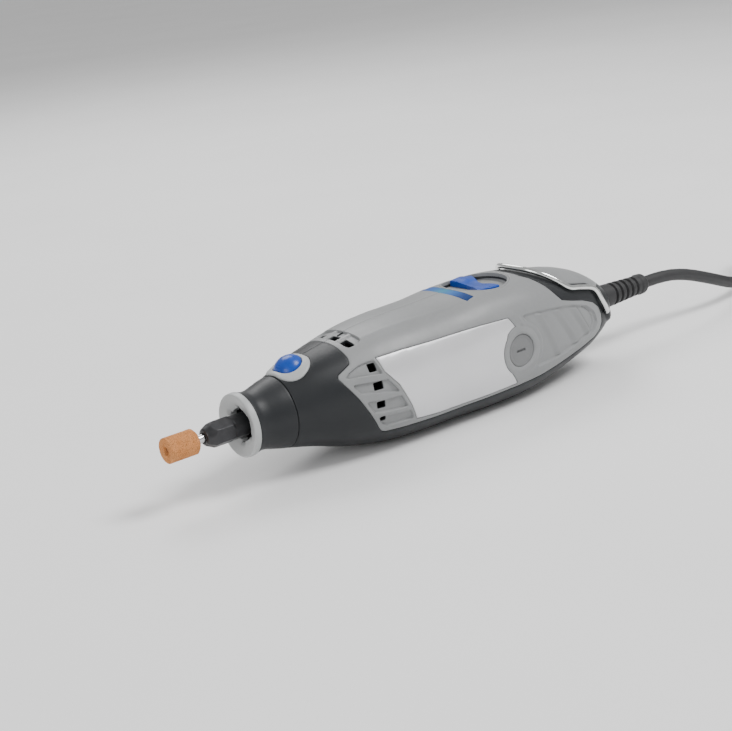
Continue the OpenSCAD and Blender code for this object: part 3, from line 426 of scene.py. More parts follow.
def on_body(x, s):
    """Points of the body's surface at x, s."""
    x, s = np.asarray(x, float), np.asarray(s, float)
    share = np.abs(s) / half_round(x)
    t = table_value(TURN, x, share * (len(SHARES) - 1))
    y, z = ring_point(x, t)
    return np.stack([x, -np.sign(s) * y, z], -1)


def outward(p):
    """Unit normals of the body at points of its surface."""
    def value(x):
        wide, half, middle, square = section(x)
        return np.abs(p[:, 1] / wide) ** square + np.abs((p[:, 2] - middle) / half) ** square

    wide, half, middle, square = section(p[:, 0])
    fx = (value(p[:, 0] + 0.1) - value(p[:, 0] - 0.1)) / 0.2
    side, up = p[:, 1] / wide, (p[:, 2] - middle) / half
    fy = square * np.abs(side) ** (square - 1) * np.sign(side) / wide
    fz = square * np.abs(up) ** (square - 1) * np.sign(up) / half
    n = np.stack([fx, fy, fz], -1)
    return n / np.linalg.norm(n, axis=1)[:, None]


def from_side(outline):
    """An outline seen from the left, x and z, as x and s."""
    outline = np.asarray(outline, float)
    x, z = outline[:, 0], outline[:, 1]
    wide, half, middle, square = section(x)
    up = np.clip((z - middle) / half, -1, 1)
    t = np.arccos(np.sign(up) * np.abs(up) ** (square / 2))
    return np.stack([x, table_value(RUN, x, t / math.pi * (len(GRID_T) - 1))], -1)


def from_top(outline):
    """An outline seen from above, x and y, as x and s."""
    outline = np.asarray(outline, float)
    x, y = outline[:, 0], outline[:, 1]
    wide, half, middle, square = section(x)
    t = np.arcsin(np.clip(np.abs(y / wide), 0, 1) ** (square / 2))
    return np.stack([x, -np.sign(y) * table_value(RUN, x, t / math.pi * (len(GRID_T) - 1))], -1)


# ---------------------------------------------------------------- outlines
def smooth_line(points, step=0.5, closed=False):
    """A smooth curve through the points, with a point about every step."""
    p = np.asarray(points, float)
    n = len(p)
    out = []
    for i in range(n if closed else n - 1):
        a, b, c, d = (p[(i + k) % n] if closed else p[min(max(i + k, 0), n - 1)] for k in (-1, 0, 1, 2))
        count = max(1, int(np.linalg.norm(c - b) / step))
        for k in range(count):
            t = k / count
            out.append(0.5 * (2 * b + (c - a) * t + (2 * a - 5 * b + 4 * c - d) * t ** 2
                              + (3 * b - a - 3 * c + d) * t ** 3))
    if not closed:
        out.append(p[-1])
    return np.array(out)


def soften(points, radius, closed=True, steps=4):
    """The outline with its corners rounded."""
    p = [np.asarray(q, float) for q in points]
    n = len(p)
    out = []
    for i, q in enumerate(p):
        r = radius[i] if hasattr(radius, "__len__") else radius
        if r <= 0 or (not closed and i in (0, n - 1)):
            out.append(q)
            continue
        a, b = p[i - 1] - q, p[(i + 1) % n] - q
        la, lb = np.linalg.norm(a), np.linalg.norm(b)
        half = math.acos(max(-1.0, min(1.0, float(a @ b) / (la * lb)))) / 2
        if half > 1.5:
            out.append(q)
            continue
        cut = min(r / math.tan(half), 0.45 * la, 0.45 * lb)
        start, end = q + a / la * cut, q + b / lb * cut
        for k in range(steps + 1):
            t = k / steps
            out.append((1 - t) ** 2 * start + 2 * t * (1 - t) * q + t * t * end)
    return np.array(out)


def spaced(line, step, closed=True):
    """The line cut into pieces no longer than step."""
    line = np.asarray(line, float)
    ends = np.roll(line, -1, axis=0) if closed else line[1:]
    out = []
    for a, b in zip(line, ends):
        count = max(1, int(math.ceil(np.linalg.norm(b - a) / step)))
        out += [a + (b - a) * k / count for k in range(count)]
    if not closed:
        out.append(line[-1])
    return np.array(out)


def arc(cx, cz, radius, start, end, count):
    turns = np.radians(np.linspace(start, end, count + 1))
    return np.stack([cx + radius * np.cos(turns), cz + radius * np.sin(turns)], -1)


def line_distance(points, line, closed=True, reach=4.0):
    """Distance of points to a line, no more than reach."""
    line = np.asarray(line, float)
    a = line if closed else line[:-1]
    b = np.roll(line, -1, axis=0) if closed else line[1:]
    out = np.full(len(points), reach)
    low, high = line.min(0) - reach, line.max(0) + reach
    near = np.where(((points > low) & (points < high)).all(1))[0]
    d = b - a
    square = np.maximum((d * d).sum(1), 1e-12)
    for chunk in np.array_split(near, max(1, len(near) * len(a) // 3000000 + 1)):
        w = points[chunk][:, None, :] - a[None]
        t = np.clip((w * d).sum(-1) / square, 0, 1)
        out[chunk] = np.minimum(reach, np.sqrt(((w - t[..., None] * d) ** 2).sum(-1).min(1)))
    return out


def inside(points, loop):
    """Which points lie inside the loop."""
    loop = np.asarray(loop, float)
    a, b = loop, np.roll(loop, -1, axis=0)
    out = np.zeros(len(points), bool)
    near = np.where(((points > loop.min(0)) & (points < loop.max(0))).all(1))[0]
    for chunk in np.array_split(near, max(1, len(near) * len(a) // 3000000 + 1)):
        px, py = points[chunk, 0][:, None], points[chunk, 1][:, None]
        with np.errstate(divide="ignore", invalid="ignore"):
            hit = ((a[:, 1] > py) != (b[:, 1] > py)) & (
                px < (b[:, 0] - a[:, 0]) * (py - a[:, 1]) / (b[:, 1] - a[:, 1]) + a[:, 0])
        out[chunk] = hit.sum(1) % 2 == 1
    return out


def signed(points, loop, reach=4.0):
    """Distance to the loop, positive inside it."""
    return line_distance(points, loop, True, reach) * np.where(inside(points, loop), 1, -1)


def offset(loop, by):
    """The loop moved inwards, or outwards where by is below 0."""
    loop = np.asarray(loop, float)
    ahead = np.roll(loop, -1, axis=0) - np.roll(loop, 1, axis=0)
    normal = np.stack([-ahead[:, 1], ahead[:, 0]], -1)
    normal /= np.maximum(np.linalg.norm(normal, axis=1), 1e-9)[:, None]
    area = (loop[:, 0] * np.roll(loop[:, 1], -1) - np.roll(loop[:, 0], -1) * loop[:, 1]).sum()
    moved = loop + normal * by * (1 if area > 0 else -1)
    return moved[line_distance(moved, loop) > abs(by) * 0.93]


# ---------------------------------------------------------------- relief
def eased(t):
    t = np.clip(t, 0, 1)
    return t * t * (3 - 2 * t)


def rolled(d, radius):
    """Fall of a rounded edge, for distances d in from the edge."""
    t = np.clip(1 - d / radius, 0, 1)
    return -radius * (1 - np.sqrt(1 - t * t))


def pocket(d, depth, edge=0.25, wall=0.12):
    """A sunk area with a rounded brim and steep walls, for distances d inside its outline."""
    brim = rolled(-d, edge)
    return np.where(d < 0, brim, -edge - (depth - edge) * eased(d / wall))


def pocket_lines(loop, edge=0.25, wall=0.12):
    return [(offset(loop, by), True) for by in (-edge, -edge * 0.45, -edge * 0.1, 0.001, wall)]


def skin(keep, cut, lines, relief, thick, spacing=1.3, fine=()):
    """A solid shell on the body's surface, as points and faces.

    keep and cut are loops: the shell is inside every loop of keep and outside those of cut. lines are (line,
    closed) that the mesh follows. relief gives the height over the body's surface at x, s. fine holds
    (x0, x1, s0, s1, spacing) where the mesh is finer."""
    loops = [spaced(loop, 0.5) for loop in list(keep) + list(cut)]
    lines = [(spaced(line, 0.45, closed), closed) for line, closed in lines if len(line) > 2]
    fixed = [(loop, True) for loop in loops] + lines
    low, high = loops[0].min(0), loops[0].max(0)
    points = []
    for x0, x1, s0, s1, gap in [(low[0], high[0], low[1], high[1], spacing)] + list(fine):
        rows = np.arange(s0, s1, gap * 0.866)
        grid = np.array([(x + (gap / 2 if i % 2 else 0), s) for i, s in enumerate(rows)
                         for x in np.arange(x0, x1, gap)])
        if gap == spacing:
            for zone in fine:
                grid = grid[~((grid[:, 0] > zone[0]) & (grid[:, 0] < zone[1]) & (grid[:, 1] > zone[2])
                              & (grid[:, 1] < zone[3]))]
        room = gap * 0.4
        for line, closed in fixed:
            grid = grid[line_distance(grid, line, closed, room * 1.01) >= room]
        points.append(grid)
    flat = np.concatenate(points)
    for loop in keep:
        flat = flat[inside(flat, loop)]
    for loop in cut:
        flat = flat[~inside(flat, loop)]
    edges, stack = [], [flat]
    at = len(flat)
    for line, closed in fixed:
        edges += [(at + i, at + i + 1) for i in range(len(line) - 1)]
        if closed:
            edges.append((at + len(line) - 1, at))
        stack.append(line)
        at += len(line)
    made = delaunay_2d_cdt([Vector(p) for p in np.concatenate(stack)], edges, [], 0, 1e-4, False)
    flat, faces = np.array([tuple(v) for v in made[0]]), np.array(made[2])
    middle = flat[faces].mean(1)
    wanted = np.ones(len(faces), bool)
    for loop in keep:
        wanted &= inside(middle, loop)
    for loop in cut:
        wanted &= ~inside(middle, loop)
    faces = faces[wanted]
    used = np.unique(faces)
    renumber = np.full(len(flat), -1)
    renumber[used] = np.arange(len(used))
    flat, faces = flat[used], renumber[faces]
    base = on_body(flat[:, 0], flat[:, 1])
    normal = outward(base)
    top = base + normal * relief(flat)[:, None]
    top[:, 2] = np.maximum(top[:, 2], FLOOR)
    under = base - normal * np.broadcast_to(thick(flat) if callable(thick) else thick, (len(flat),))[:, None]
    corner = top[faces]
    facing = np.cross(corner[:, 1] - corner[:, 0], corner[:, 2] - corner[:, 0])
    wrong = (facing * normal[faces[:, 0]]).sum(1) < 0
    faces[wrong] = faces[wrong][:, ::-1]
    count = len(flat)
    ways = {}
    for a, b, c in faces:
        for e in ((a, b), (b, c), (c, a)):
            ways[e] = True
    rim = [(a, b) for a, b in ways if (b, a) not in ways]
    solid = [tuple(f) for f in faces] + [(c + count, b + count, a + count) for a, b, c in faces]
    solid += [(b, a, a + count, b + count) for a, b in rim]
    return np.concatenate([top, under]), solid


def on_side(mesh, side):
    """A mesh made for the left side (-1), mirrored for the right side (+1)."""
    points, faces = mesh
    if side < 0:
        return points, faces
    return points * (1, -1, 1), [tuple(reversed(f)) for f in faces]


def make_piece(name, points, faces, slot, body, nodes=(), sharp=38, look=None):
    """A piece in its slot's material, or in look, that rides on its body and stands for CAD nodes."""
    mesh = bpy.data.meshes.new(name)
    mesh.from_pydata(place(points).tolist(), [], [tuple(int(i) for i in f) for f in faces])
    mesh.validate()
    mesh.shade_smooth()
    mesh.set_sharp_from_angle(angle=math.radians(sharp))
    mesh.materials.append(MATERIALS[look or slot])
    piece = bpy.data.objects.new(name, mesh)
    bpy.context.scene.collection.objects.link(piece)
    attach(piece, body)
    if nodes:
        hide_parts(*nodes)
    return piece


def use_slot_materials():
    """CAD nodes that stay visible take the material of their slot."""
    for entry in frame["record"]["subparts"]:
        slots = frame["nodes"][entry["node"]].data.materials
        slots.clear()
        slots.append(MATERIALS[entry["material_slot"]])


# ---------------------------------------------------------------- turned and swept pieces
def turned_mesh(profile, count=96):
    """A closed profile of (x, r) turned about the axis. r may be a row of values, one for each turn."""
    turns = np.linspace(0, 2 * math.pi, count, endpoint=False)
    points, rings = [], []
    for x, r in profile:
        r = np.broadcast_to(np.asarray(r, float), (count,))
        if r.max() < 1e-6:
            rings.append([len(points)] * count)
            points.append((x, 0.0, 0.0))
        else:
            rings.append(list(range(len(points), len(points) + count)))
            points += list(zip(np.full(count, x), r * np.cos(turns), r * np.sin(turns)))
    faces = []
    for i in range(len(rings)):
        a, b = rings[i], rings[(i + 1) % len(rings)]
        if a[0] == a[1] and b[0] == b[1]:
            continue
        for k in range(count):
            j = (k + 1) % count
            face = [a[k], b[k], b[j], a[j]]
            faces.append(tuple(dict.fromkeys(face)))
    return outwards(np.array(points), faces)


def outwards(points, faces):
    """The faces, turned over if they enclose their volume from the wrong side."""
    total = 0.0
    for f in faces:
        for i in range(1, len(f) - 1):
            total += float(np.dot(points[f[0]], np.cross(points[f[i]], points[f[i + 1]])))
    return points, faces if total > 0 else [tuple(reversed(f)) for f in faces]


def eased_profile(profile, radius=0.25, steps=4):
    """A profile whose corners are rounded, apart from those on the axis."""
    radii = [0 if p[1] < 1e-6 else radius for p in profile]
    return soften(profile, radii, True, steps)


def swept(line, radius, sides=20):
    """A round tube along a line of points; radius may differ from point to point."""
    line = np.asarray(line, float)
    radius = np.broadcast_to(np.asarray(radius, float), (len(line),))
    ahead = np.gradient(line, axis=0)
    ahead /= np.linalg.norm(ahead, axis=1)[:, None]
    side = np.cross(ahead[0], (0, 0, 1) if abs(ahead[0][2]) < 0.9 else (1, 0, 0))
    turns = np.linspace(0, 2 * math.pi, sides, endpoint=False)
    points = []
    for p, t, r in zip(line, ahead, radius):
        side = side - t * (side @ t)
        side /= np.linalg.norm(side)
        other = np.cross(t, side)
        points += [p + r * (math.cos(a) * side + math.sin(a) * other) for a in turns]
    faces = []
    for i in range(len(line) - 1):
        for k in range(sides):
            j = (k + 1) % sides
            faces.append((i * sides + k, i * sides + j, (i + 1) * sides + j, (i + 1) * sides + k))
    last = len(points)
    points += [line[0], line[-1]]
    faces += [(last, (k + 1) % sides, k) for k in range(sides)]
    end = (len(line) - 1) * sides
    faces += [(last + 1, end + k, end + (k + 1) % sides) for k in range(sides)]
    return outwards(np.array(points), faces)


def joined(*meshes):
    """Several meshes as one list of points and faces."""
    points, faces, at = [], [], 0
    for p, f in meshes:
        points.append(p)
        faces += [tuple(i + at for i in face) for face in f]
        at += len(p)
    return np.concatenate(points), faces


def stacked(rings):
    """A solid through closed rings of the same count, with its first and last ring filled by fans."""
    count = len(rings[0])
    points = np.concatenate(rings + [rings[0].mean(0)[None], rings[-1].mean(0)[None]])
    faces = []
    for i in range(len(rings) - 1):
        for k in range(count):
            j = (k + 1) % count
            faces.append((i * count + k, i * count + j, (i + 1) * count + j, (i + 1) * count + k))
    first_centre, last_centre = len(points) - 2, len(points) - 1
    end = (len(rings) - 1) * count
    faces += [(first_centre, (k + 1) % count, k) for k in range(count)]
    faces += [(last_centre, end + k, end + (k + 1) % count) for k in range(count)]
    return outwards(points, faces)


def hooped(rings):
    """A solid through rings of the same count that come back to the first one."""
    count, n = len(rings[0]), len(rings)
    faces = [(i * count + k, i * count + (k + 1) % count, (i + 1) % n * count + (k + 1) % count,
              (i + 1) % n * count + k) for i in range(n) for k in range(count)]
    return outwards(np.concatenate(rings), faces)


def capped_plate(outline, centre, low, top, edge=0.35, steps=5, inner=(0.93, 0.8, 0.6, 0.4, 0.2)):
    """A plate under a surface top(x, y), with a rounded upper edge. Its centre sees all of its outline."""
    outline = np.asarray(outline, float)
    centre = np.asarray(centre, float)
    reach = np.linalg.norm(outline - centre, axis=1).mean()
    rings = [np.column_stack([outline, np.full(len(outline), low)])]
    for k in range(steps + 1):
        turn = math.pi / 2 * k / steps
        flat = centre + (outline - centre) * (1 - edge * (1 - math.cos(turn)) / reach)
        rings.append(np.column_stack([flat, top(flat[:, 0], flat[:, 1]) - edge * (1 - math.sin(turn))]))
    for share in inner:
        flat = centre + (outline - centre) * share
        rings.append(np.column_stack([flat, top(flat[:, 0], flat[:, 1])]))
    return stacked(rings)


# ---------------------------------------------------------------- cord, hank, tie and plug
CORD_D = 5.2
HANK_X = 332              # where the hank's straight part starts
HANK_LEN = 76
HANK_PITCH = 5.6
HANK_LIFT = 0.8
INNER_TURN = 21.2
OUTER_TURN = 26.6
INNER_TURNS = 3           # on the way up
OUTER_TURNS = 2           # down again on the outside
CORD_LOW = FLOOR + HANK_LIFT + CORD_D / 2
HANK_TOP = FLOOR + HANK_LIFT + CORD_D + INNER_TURNS * HANK_PITCH
# Points of the run up to the hank: x, share of the drop, share of the way to the side
CORD_RUN = [(190, 0, 0), (202, 0, 0), (213, 0, 0), (222, 0.003, 0), (232, 0.045, 0), (242, 0.16, 0),
            (252, 0.33, 0), (262, 0.52, 0.03), (272, 0.71, 0.12), (282, 0.865, 0.27), (292, 0.965, 0.46),
            (302, 1, 0.65), (312, 1, 0.82), (322, 1, 0.945), (HANK_X, 1, 1)]
PLUG_BACK = HANK_X + HANK_LEN + 52
PLUG_LEN = 38
PLUG_H = 26
PLUG_Y = 8
PLUG_Z = FLOOR + PLUG_H / 2
PIN_PITCH = 19
PIN_R = 2.4
PIN_LEN = 19
# Points from the last turn to the plug: x, share of the way to its middle, share of the rise
TAIL_RUN = [(8, 0.04, 0), (16, 0.17, 0.03), (24, 0.38, 0.12), (32, 0.61, 0.3), (40, 0.82, 0.55),
            (48, 0.96, 0.84), (53, 1, 0.97), (57.5, 1, 1)]


def hank_point(radius, share):
    """A place on a hank's turn, which starts at the near end of its left run."""
    run = share * (2 * HANK_LEN + 2 * math.pi * radius)
    bend = math.pi * radius
    if run < HANK_LEN:
        return HANK_X + run, radius
    run -= HANK_LEN
    if run < bend:
        return HANK_X + HANK_LEN + radius * math.sin(run / radius), radius * math.cos(run / radius)
    run -= bend
    if run < HANK_LEN:
        return HANK_X + HANK_LEN - run, -radius
    run -= HANK_LEN
    return HANK_X - radius * math.sin(run / radius), -radius * math.cos(run / radius)


def hank_line():
    """The hank's turns: upwards on the inside, then down again round them."""
    steps = 64
    total = INNER_TURNS + OUTER_TURNS
    points = []
    for k in range(1, total * steps + 1):
        turn = k / steps
        radius = INNER_TURN + (OUTER_TURN - INNER_TURN) * float(eased((turn - INNER_TURNS + 0.2) / 0.2))
        height = min(turn * 1.06, INNER_TURNS, 2 * INNER_TURNS - turn)
        x, y = hank_point(radius, turn % 1)
        if k % steps == 0:
            x, y = HANK_X, radius
        points.append((x, y, CORD_LOW + height * HANK_PITCH))
    first = points[-1][2] - CORD_LOW
    for k in range(1, 13):
        share = k / 12
        points.append((HANK_X + HANK_LEN * share, OUTER_TURN, CORD_LOW + first * (1 - float(eased(share)))))
    return points


def make_cord(with_pieces):
    run = [(x, side * INNER_TURN, share * CORD_LOW) for x, share, side in CORD_RUN]
    hank = hank_line()
    tail = [(HANK_X + HANK_LEN + x, OUTER_TURN + side * (PLUG_Y - OUTER_TURN),
             CORD_LOW + share * (PLUG_Z - CORD_LOW)) for x, side, share in TAIL_RUN]
    lead = smooth_line([hank[-1]] + tail, 3.0)[1:]
    line = np.concatenate([smooth_line(run, 5.0)[:-1], [run[-1]], hank, lead])
    data = bpy.data.curves.new("cord", "CURVE")
    data.dimensions = "3D"
    data.bevel_depth = CORD_D / 2 * MM
    data.bevel_resolution = 6
    data.use_fill_caps = True
    spline = data.splines.new("POLY")
    spline.points.add(len(line) - 1)
    spline.points.foreach_set("co", np.column_stack([place(line), np.ones(len(line))]).ravel())
    spline.use_smooth = True
    data.materials.append(MATERIALS["rubber"])
    piece = bpy.data.objects.new("cord_visual", data)
    bpy.context.scene.collection.objects.link(piece)
    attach(piece, "housing")
    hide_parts("cord", "cord_hank", "cord_tail")
    place((GUARD_END, 0, 0))
    return piece


TIE_X = HANK_X + 30
TIE_T = 0.7


def make_tie():
    """A strap round the hank's turns."""
    half = OUTER_TURN + CORD_D / 2
    low = FLOOR + HANK_LIFT
    inner = soften([(-half, low), (half, low), (half, HANK_TOP), (-half, HANK_TOP)], CORD_D / 2, True, 8)
    middle = np.array([0, (low + HANK_TOP) / 2])
    size = np.array([half, (HANK_TOP - low) / 2])
    rings = []
    for grow, along in ((0.03, 4.6), (0.2, 4.95), (0.5, 4.95), (TIE_T, 4.6), (TIE_T, -4.6), (0.5, -4.95),
                        (0.2, -4.95), (0.03, -4.6)):
        flat = middle + (inner - middle) * (1 + grow / size)
        rings.append(np.column_stack([np.full(len(flat), TIE_X + along), flat]))
    points, faces = hooped(rings)
    return make_piece("cord_tie_visual", points, faces, "rubber", "housing", ["cord_tie"])


def plug_section(x, wide, high, squareness, count=72):
    turns = np.linspace(0, 2 * math.pi, count, endpoint=False)
    c, s = np.cos(turns), np.sin(turns)
    y = wide * np.sign(c) * np.abs(c) ** (2 / squareness)
    z = high * np.sign(s) * np.abs(s) ** (2 / squareness)
    return np.column_stack([np.full(count, PLUG_BACK + x), PLUG_Y + y, PLUG_Z + z])


def make_plug():
    """A flat round two-pin plug with a ribbed strain relief."""
    outline = np.array([(0.0, 4.2), (8, 5.4), (14, 9.2), (20, 14.2), (25, 17.0), (31, 17.6), (36.2, 17.6)])
    rings = [plug_section(0, 3.4, 3.4, 2)]
    for x in np.arange(0.3, 36.3, 0.3):
        wide = np.interp(x, outline[:, 0], outline[:, 1])
        groove = 0.7 * sum(eased(1.6 - abs(x - rib) / 0.45) for rib in (2.6, 4.8, 7.0, 9.2))
        wide -= groove
        high = min(wide, PLUG_H / 2 - 0.02)
        rings.append(plug_section(x, wide, high, 2 + 0.9 * float(eased((x - 14) / 10))))
    for k in range(1, 7):
        turn = math.pi / 2 * k / 6
        drop = 1.7 * (1 - math.cos(turn))
        rings.append(plug_section(36.2 + 1.8 * math.sin(turn), 17.6 - drop, PLUG_H / 2 - 0.02 - drop, 2.9))
    points, faces = stacked(rings)
    body = make_piece("plug_body_visual", points, faces, "rubber", "housing", ["plug_body"])
    profile = eased_profile([(0, 0), (0, 1.9), (0.3, 1.9), (0.3, PIN_R), (PIN_LEN - 1.2, PIN_R),
                             (PIN_LEN, PIN_R - 1.2), (PIN_LEN, 0)], 0.3)
    pins = []
    for side in (-1, 1):
        p, f = turned_mesh(profile, 40)
        p = p + (PLUG_BACK + PLUG_LEN, PLUG_Y + side * PIN_PITCH / 2, PLUG_Z)
        pins.append(outwards(p, f))
    pin_points, pin_faces = joined(*pins)
    pin_piece = make_piece("plug_pins_visual", pin_points, pin_faces, "steel", "housing", ["plug_pins"])
    return [body, pin_piece]


make_cord(make_plug() + [make_tie()])
use_slot_materials()


# ---------------------------------------------------------------- nose, bit and nut
def make_ring():
    """The pale ring in front: a dished face with six notches round its hole."""
    count = 360
    turns = np.degrees(np.linspace(0, 2 * math.pi, count, endpoint=False))
    hole = np.full(count, 6.1)
    for i in range(6):
        off = np.abs((turns - 30 - 60 * i + 180) % 360 - 180)
        hole = np.maximum(hole, 6.1 + 0.9 * eased((10.6 - off) / 1.2))
    profile = [(2.1, hole), (1.95, hole + 0.06), (1.86, hole + 0.22), (1.3, 7.6), (0.95, 8.5), (0.88, 8.7),
               (0.7, 9.3), (0.25, 10.6), (0.08, 11.1), (0.02, 11.35), (0.05, 11.62), (0.16, 11.82),
               (0.35, 11.95), (1.0, 12.03), (2.2, 12.1), (2.45, 12.07), (2.55, 11.95), (2.6, 11.8),
               (2.6, 9.4), (4.6, 9.4), (4.6, hole), (3.4, hole)]
    points, faces = turned_mesh(profile, count)
    make_piece("nose_ring_visual", points, faces, "pale_plastic", "nose_cap", ["nose_ring"])


def make_nose_cap():
    """The dark cap, waisted behind the ring and flared to meet the housing."""
    waist = smooth_line([(3.0, 11.85), (3.9, 11.6), (5, 11.3), (6.5, 11.2), (8.5, 11.42), (11, 12.1),
                         (14, 12.95), (16.9, 13.6)], 0.4)
    front = [(2.65, 9.45), (2.65, 11.7), (2.75, 11.85)]
    back = [(17.3, 13.66), (17.55, 13.6), (17.65, 13.4), (17.65, 9.6), (4.65, 9.6), (4.65, 9.45)]
    profile = front + [tuple(p) for p in waist] + back
    points, faces = turned_mesh(profile, 128)
    make_piece("nose_cap_visual", points, faces, "housing", "nose_cap", ["nose_cap"])


NUT_FLAT = 8.7 / 2


def make_nut():
    """The collet nut: a hexagon that its tapered front cuts, on a round collar."""
    count = 180
    turns = np.linspace(0, 2 * math.pi, count, endpoint=False)
    hexagon = NUT_FLAT / np.cos((turns + math.pi / 6) % (math.pi / 3) - math.pi / 6)
    outer = smooth_line([(-14.3, 2.55), (-14.2, 2.8), (-13.9, 3.2), (-12.2, 4.05), (-10.6, 4.82),
                         (-9.8, 4.98), (-8, 5.0), (-4.6, 5.0), (-3.7, 4.9), (-3.1, 4.5), (-2.9, 4.36),
                         (-2.4, 4.4), (0, 4.4), (3.0, 4.4), (3.4, 4.3), (3.5, 4.1)], 0.22)
    blend = 0.12
    profile = []
    for x, r in outer:
        if x < -3.0:
            gap = np.clip(0.5 + 0.5 * (hexagon - r) / blend, 0, 1)
            r = hexagon * (1 - gap) + r * gap - blend * gap * (1 - gap)
        profile.append((x, r))
    profile += [(3.5, 3.6), (-9.2, 3.6), (-12.9, 1.9), (-14.1, 1.9), (-14.25, 2.0), (-14.3, 2.15)]
    points, faces = turned_mesh(profile, count)
    make_piece("collet_nut_visual", points, faces, "dark_steel", "collet_nut", ["collet_nut"])


STONE_R = 4.75
STONE_LEN = 12.1
SHANK_R = 1.5875
SHANK_SUNK = 1.2          # how far behind the stone's face the shank starts
SHANK_END = 6.5


def make_stone():
    """The stone: a dressed cylinder of coarse grains with a hole in front and a bevel at its back."""
    rng = np.random.default_rng(7)
    count = 170
    front = [(0.0, r) for r in np.arange(1.95, STONE_R - 0.4, 0.24)]
    edge = [(0.35 * (1 - math.cos(a)), STONE_R - 0.35 * (1 - math.sin(a)))
            for a in np.linspace(0, math.pi / 2, 4)]
    side = [(x, STONE_R) for x in np.arange(0.6, STONE_LEN - 0.95, 0.22)]
    bevel = [(STONE_LEN - 0.85 * (1 - t), STONE_R - 0.9 * t) for t in np.linspace(0, 1, 5)]
    back = [(STONE_LEN, r) for r in np.arange(STONE_R - 1.15, 1.75, -0.3)] + [(STONE_LEN, 1.6)]
    hole = [(1.2, 1.6), (0.5, 1.62), (0.14, 1.7)]
    profile = []
    for x, r in front + edge + side + bevel + back:
        grit = rng.normal(0, 0.035, count)
        grit = np.clip((grit + np.roll(grit, 1)) * 0.7, -0.1, 0.05)
        profile.append((STONE_FRONT + x, np.minimum(r + grit - 0.03, STONE_R)))
    profile += [(STONE_FRONT + x, r) for x, r in hole]
    points, faces = turned_mesh(profile, count)
    faceward = (points[:, 0] < STONE_FRONT + 0.01) & (np.hypot(points[:, 1], points[:, 2]) > 1.9)
    points[faceward, 0] += np.abs(rng.normal(0, 0.04, faceward.sum()))
    make_piece("grinding_stone_visual", points, faces, "stone", "bit", ["grinding_stone"], sharp=70)
    shank_start = STONE_FRONT + SHANK_SUNK
    corners = [(shank_start, 0), (shank_start, SHANK_R), (SHANK_END, SHANK_R), (SHANK_END, 0)]
    points, faces = turned_mesh(eased_profile(corners, 0.3), 64)
    make_piece("stone_mandrel_visual", points, faces, "steel", "bit", ["stone_mandrel"])


# ---------------------------------------------------------------- outlines on the body
BRUSH = (118.0, -0.5)
DIAL = (118.0, 0.0)

# Grey cover seen from the side, from the front of its arrow round under the vents to the tail
COVER_SIDE = ([(42.2, 16.2), (41.4, 14.3), (35.8, 11.8), (34.9, 10.6), (36.5, 8), (40.7, 1.5), (44.1, -4.4),
               (48.2, -11.8), (49.6, -13.6), (51.5, -14.3), (57.5, -14.6), (76, -15.1), (97, -15.1),
               (116.5, -14.8), (129, -14.2), (141, -12.7), (154, -10.7), (164, -8.4), (167.6, -6.2),
               (168.8, -3), (168.4, 0.5), (166.6, 4), (163, 7), (157, 9.4), (150, 11.2), (144.6, 12.8),
               (142.3, 15.6),
               (139.6, 19.4), (136.4, 22.6)])
COVER_FRONT_X = 42.2
COVER_BACK_X = 134.3


def cover_outline(top=0.0):
    """The cover's outline in x and s; top is how far over the middle it runs."""
    side = from_side(spaced(soften(COVER_SIDE, [0, 1.2, 1.2, 1.2] + [1.0] * 20 + [0.8] * 4 + [0], False), 0.6,
                            False))
    end = [(COVER_BACK_X, from_top([(COVER_BACK_X, -9.0)])[0][1]), (COVER_BACK_X, top)]
    return np.concatenate([[(COVER_FRONT_X, top)], side, end])


COVER = cover_outline()
PANEL_SIDE = np.concatenate([
    soften([(51.2, 14.6), (62, 15), (80, 14.7), (100, 14.5), (113.6, 13.9), (116.2, 9.75)],
           [0, 2, 2, 2, 1.0, 0], False),
    arc(*BRUSH, 10.4, 100, 128, 6)[1:], arc(*BRUSH, 9.6, 140, 232, 24),
    soften([(112.1, -8.1), (115.8, -13.6), (96, -14), (76, -13.7), (64.6, -12.9), (61.9, -6.2), (57.6, 2.8),
            (52.7, 9), (51.2, 14.6)], [0, 0.9, 2, 2, 0.9, 2, 2, 2, 0], False)[1:-1]])
PANEL = from_side(spaced(PANEL_SIDE, 0.5))
TAIL_SIDE = [(139.8, 23.6), (143, 21.2), (147.6, 18.6), (150.4, 17.4), (163.4, 14.4), (166, 12.6),
             (170, 11.2), (176, 10.4)]


def tail_outline():
    side = from_side(spaced(soften(TAIL_SIDE, [0] + [1.2] * 6 + [0], False), 0.6, False))
    return np.concatenate([side, side[::-1] * (1, -1)])


TAIL = tail_outline()


def circle_top(cx, cy, radius, count=72):
    return from_top(arc(cx, cy, radius, 0, 360, count)[:-1])


def circle_side(cx, cz, radius, count=72):
    return from_side(arc(cx, cz, radius, 0, 360, count)[:-1])


def oval(x, half, radius, count):
    return np.concatenate([arc(x, half, radius, 0, 180, count), arc(x, -half, radius, 180, 360, count)])


def oval_top(x, half, radius, count=24):
    """An oval across the tool, seen from above."""
    return from_top(oval(x, half, radius, count))


def box(x, across, long, wide, radius):
    """A rectangle with rounded corners about a place."""
    corners = [(x + i * long / 2, across + k * wide / 2) for i, k in ((-1, -1), (1, -1), (1, 1), (-1, 1))]
    return spaced(soften(corners, radius), 0.4)


# Air openings in the side (x, z, length, height) and in the top (y, width)
SIDE_VENTS = [(48.8, 11.75, 3.2, 3.2), (49.3, 4.6, 4.0, 3.2), (49.4, -2.8, 3.6, 2.8), (49.9, -8.8, 2.4, 1.8)]
SIDE_OPENINGS = [from_side(box(*vent, 0.6)) for vent in SIDE_VENTS]
TOP_VENT_X = 46.0
TOP_VENTS = [(0, 5.0), (-8.2, 5.6)]


